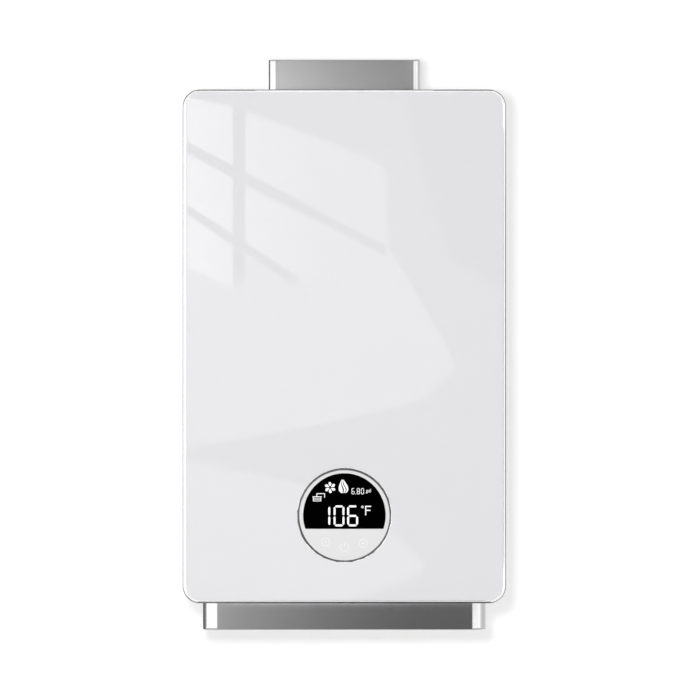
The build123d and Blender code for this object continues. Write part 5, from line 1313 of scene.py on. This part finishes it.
class HEATER_OT_stage(bpy.types.Operator):
    """Sets the camera, the floor, the wall, the lamps and the cards that the gloss shows"""

    bl_idname = "heater.stage"
    bl_label = "Stage"

    def execute(self, context):
        scene, studio = context.scene, context.scene.heater_studio
        camera = bpy.data.objects.new("camera", bpy.data.cameras.new("camera"))
        scene.collection.objects.link(camera)
        camera.data.lens = studio.lens
        camera.data.sensor_width = 36
        camera.data.clip_end = 50
        self.eye = np.array([EYE_X, -studio.distance, EYE_Z])
        camera.location = self.eye
        camera.rotation_euler = (QUARTER, 0, 0)
        scene.camera = camera
        scene.view_settings.view_transform = "Standard"
        self.backdrop(studio)
        self.lamps(scene, studio)
        self.room(scene, studio)
        self.cards(studio)
        return {"FINISHED"}

    def backdrop(self, studio, half=4, front=-6, top=4):
        """A pale wall behind the heater and a pale floor below it."""
        wall_y, floor_z = cad_box[1][1] + 0.5 * MM, cad_box[0][2] - FLOOR_DROP
        pale = backdrop_material("Pale Backdrop", studio.backdrop)
        stage_sheet("wall", between((-half, half), (wall_y, floor_z), (wall_y, top)), pale)
        stage_sheet("floor", between((-half, half), (front, floor_z), (wall_y, floor_z)), pale)

    def lamps(self, scene, studio):
        """One broad lamp before the heater, up and to the left, and one behind the wall for the back."""
        for name, place, size, power in (
            ("key", (-0.19, -3.4, 0.49), 0.38, studio.key), ("rear", (0.6, 2.6, 1.6), 2.0, studio.key * 0.6),
        ):
            lamp = bpy.data.lights.new(name, "AREA")
            lamp.size = size
            lamp.energy = power
            holder = bpy.data.objects.new(name, lamp)
            scene.collection.objects.link(holder)
            x, y, z = np.array(LAMP_AIM) - np.array(place)
            holder.location = place
            holder.rotation_euler = (np.arctan2(np.hypot(x, y), -z), 0, np.arctan2(y, x) - QUARTER)
            holder.visible_glossy = holder.visible_camera = False

    def room(self, scene, studio):
        """An even room: white to the camera and through glass, and brighter in gloss than as a light."""
        world = bpy.data.worlds.new("room")
        scene.world = world
        world.use_nodes = True
        tree = world.node_tree
        tree.nodes.clear()
        ray = node(tree, "ShaderNodeLightPath").outputs
        mirrored = node(
            tree, "ShaderNodeMapRange", in_Value=ray["Is Glossy Ray"], in_To_Min=studio.room,
            in_To_Max=MIRRORED_ROOM,
        ).outputs[0]
        direct = maths(tree, "MAXIMUM", ray["Is Camera Ray"], ray["Is Transmission Ray"])
        strength = maths(tree, "MAXIMUM", direct, mirrored)
        glow = node(tree, "ShaderNodeBackground", in_Color=(1, 1, 1, 1), in_Strength=strength)
        node(tree, "ShaderNodeOutputWorld", in_Surface=glow.outputs[0])

    def cards(self, studio):
        """Window and room light for the glass, side cards for the bends in the steel and the bevel,
        falling cards for hood, skirt and back, and dark flags above, below and beside the edges."""
        side = studio.side
        even = {value: card_material(f"Card {value}", 0, 1, value, value) for value in (*CARD_LEVELS, side)}
        window = card_material("Window Light", -0.165, 0.02, studio.window, 1.9)
        for kind, outlines, card_y, material in (
            ("pane", PANES, -0.5, window), ("bar", BARS, -0.49, even[0.6]),
            ("room_light", ROOM_LIGHT, -1.0, even[1.9]),
        ):
            for number, places in enumerate(outlines):
                card(f"{kind}_{number}", self.mirrored(places, card_y), material)
        card("room_shade", self.mirrored(ROOM_SHADE, -1.2), even[0.3])
        for part, heights in (("low", LOW), ("high", HIGH)):
            self.side_cards(f"left_{part}", -1, (4, 25, 50, 75, 96), heights, even[side])
            self.side_cards(f"right_{part}", 1, (9, 30, 50, 78), heights, even[side])
            self.side_cards(f"right_far_{part}", 1, (78, 96), heights, even[1.5])
        self.side_cards("left_middle", -1, (10, 50, 96), MIDDLE, even[3.0])
        self.side_cards("right_flag", 1, (12, 35, 58), MIDDLE, even[0.02])
        self.side_cards("right_middle", 1, (58, 80), MIDDLE, even[1.5])
        for name, sides, near, far, light in CARDS:
            material = card_material(*light) if isinstance(light, tuple) else even[light]
            card(name, between(sides, near, far), material)

    def mirrored(self, places, card_y):
        """Corners, on a card's plane, that the glass mirrors at given places.

        A ray from the camera through a place on the glass goes on, turned back, to the card's plane."""
        glass_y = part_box("glass_panel")[0].y
        onward = (glass_y - card_y) / (glass_y - self.eye[1])
        seen = np.array(places, float) * MM + PANEL_MIDDLE[[0, 2]]
        x, z = (seen + (seen - self.eye[[0, 2]]) * onward).T
        return np.stack([x, card_y + 0 * x, z], -1)

    def side_cards(self, name, side, angles, heights, material):
        """Upright cards on an arc one metre from the case's front edge, between angles off the front."""
        low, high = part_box("front_cover")
        ends = [(side * (high.x + np.sin(turn)), low.y - np.cos(turn)) for turn in np.radians(angles)]
        bottom, top = heights
        for number, (near, far) in enumerate(zip(ends, ends[1:])):
            corners = [(*near, bottom), (*far, bottom), (*far, top), (*near, top)]
            card(f"{name}_card_{number}", corners, material)


# ---------------------------------------------------------------- add-on
class HEATER_PT_sidebar(bpy.types.Panel):
    """Lists the heater's settings and the steps that build it"""

    bl_label = "Water Heater"
    bl_idname = "HEATER_PT_sidebar"
    bl_space_type = "VIEW_3D"
    bl_region_type = "UI"
    bl_category = "Heater"

    def draw(self, context):
        for name, group in GROUPS.items():
            box = self.layout.box()
            box.label(text=group.__doc__)
            for setting in group.__annotations__:
                box.prop(getattr(context.scene, name), setting)
        for step in STEPS:
            self.layout.operator(step.bl_idname)


STEPS = (
    HEATER_OT_stage,
    HEATER_OT_glass_panel,
    HEATER_OT_display,
    HEATER_OT_case,
    HEATER_OT_hood,
    HEATER_OT_connections,
    HEATER_OT_screws,
    HEATER_OT_inner_parts,
)
CLASSES = (*GROUPS.values(), *STEPS, HEATER_PT_sidebar)


def register():
    """Registers the settings, the steps and the sidebar."""
    for one in CLASSES:
        bpy.utils.register_class(one)
    for name, group in GROUPS.items():
        setattr(bpy.types.Scene, name, bpy.props.PointerProperty(type=group))


def unregister():
    """Removes them again."""
    for name in GROUPS:
        delattr(bpy.types.Scene, name)
    for one in reversed(CLASSES):
        bpy.utils.unregister_class(one)


def main():
    """Registers the classes, makes the finishes and runs every step in order."""
    register()
    FINISHES.update(outer_finishes(bpy.context.scene))
    FINISHES.update(common_finishes())
    for step in STEPS:
        space, name = step.bl_idname.split(".")
        getattr(getattr(bpy.ops, space), name)()


if __name__ == "__main__":
    main()
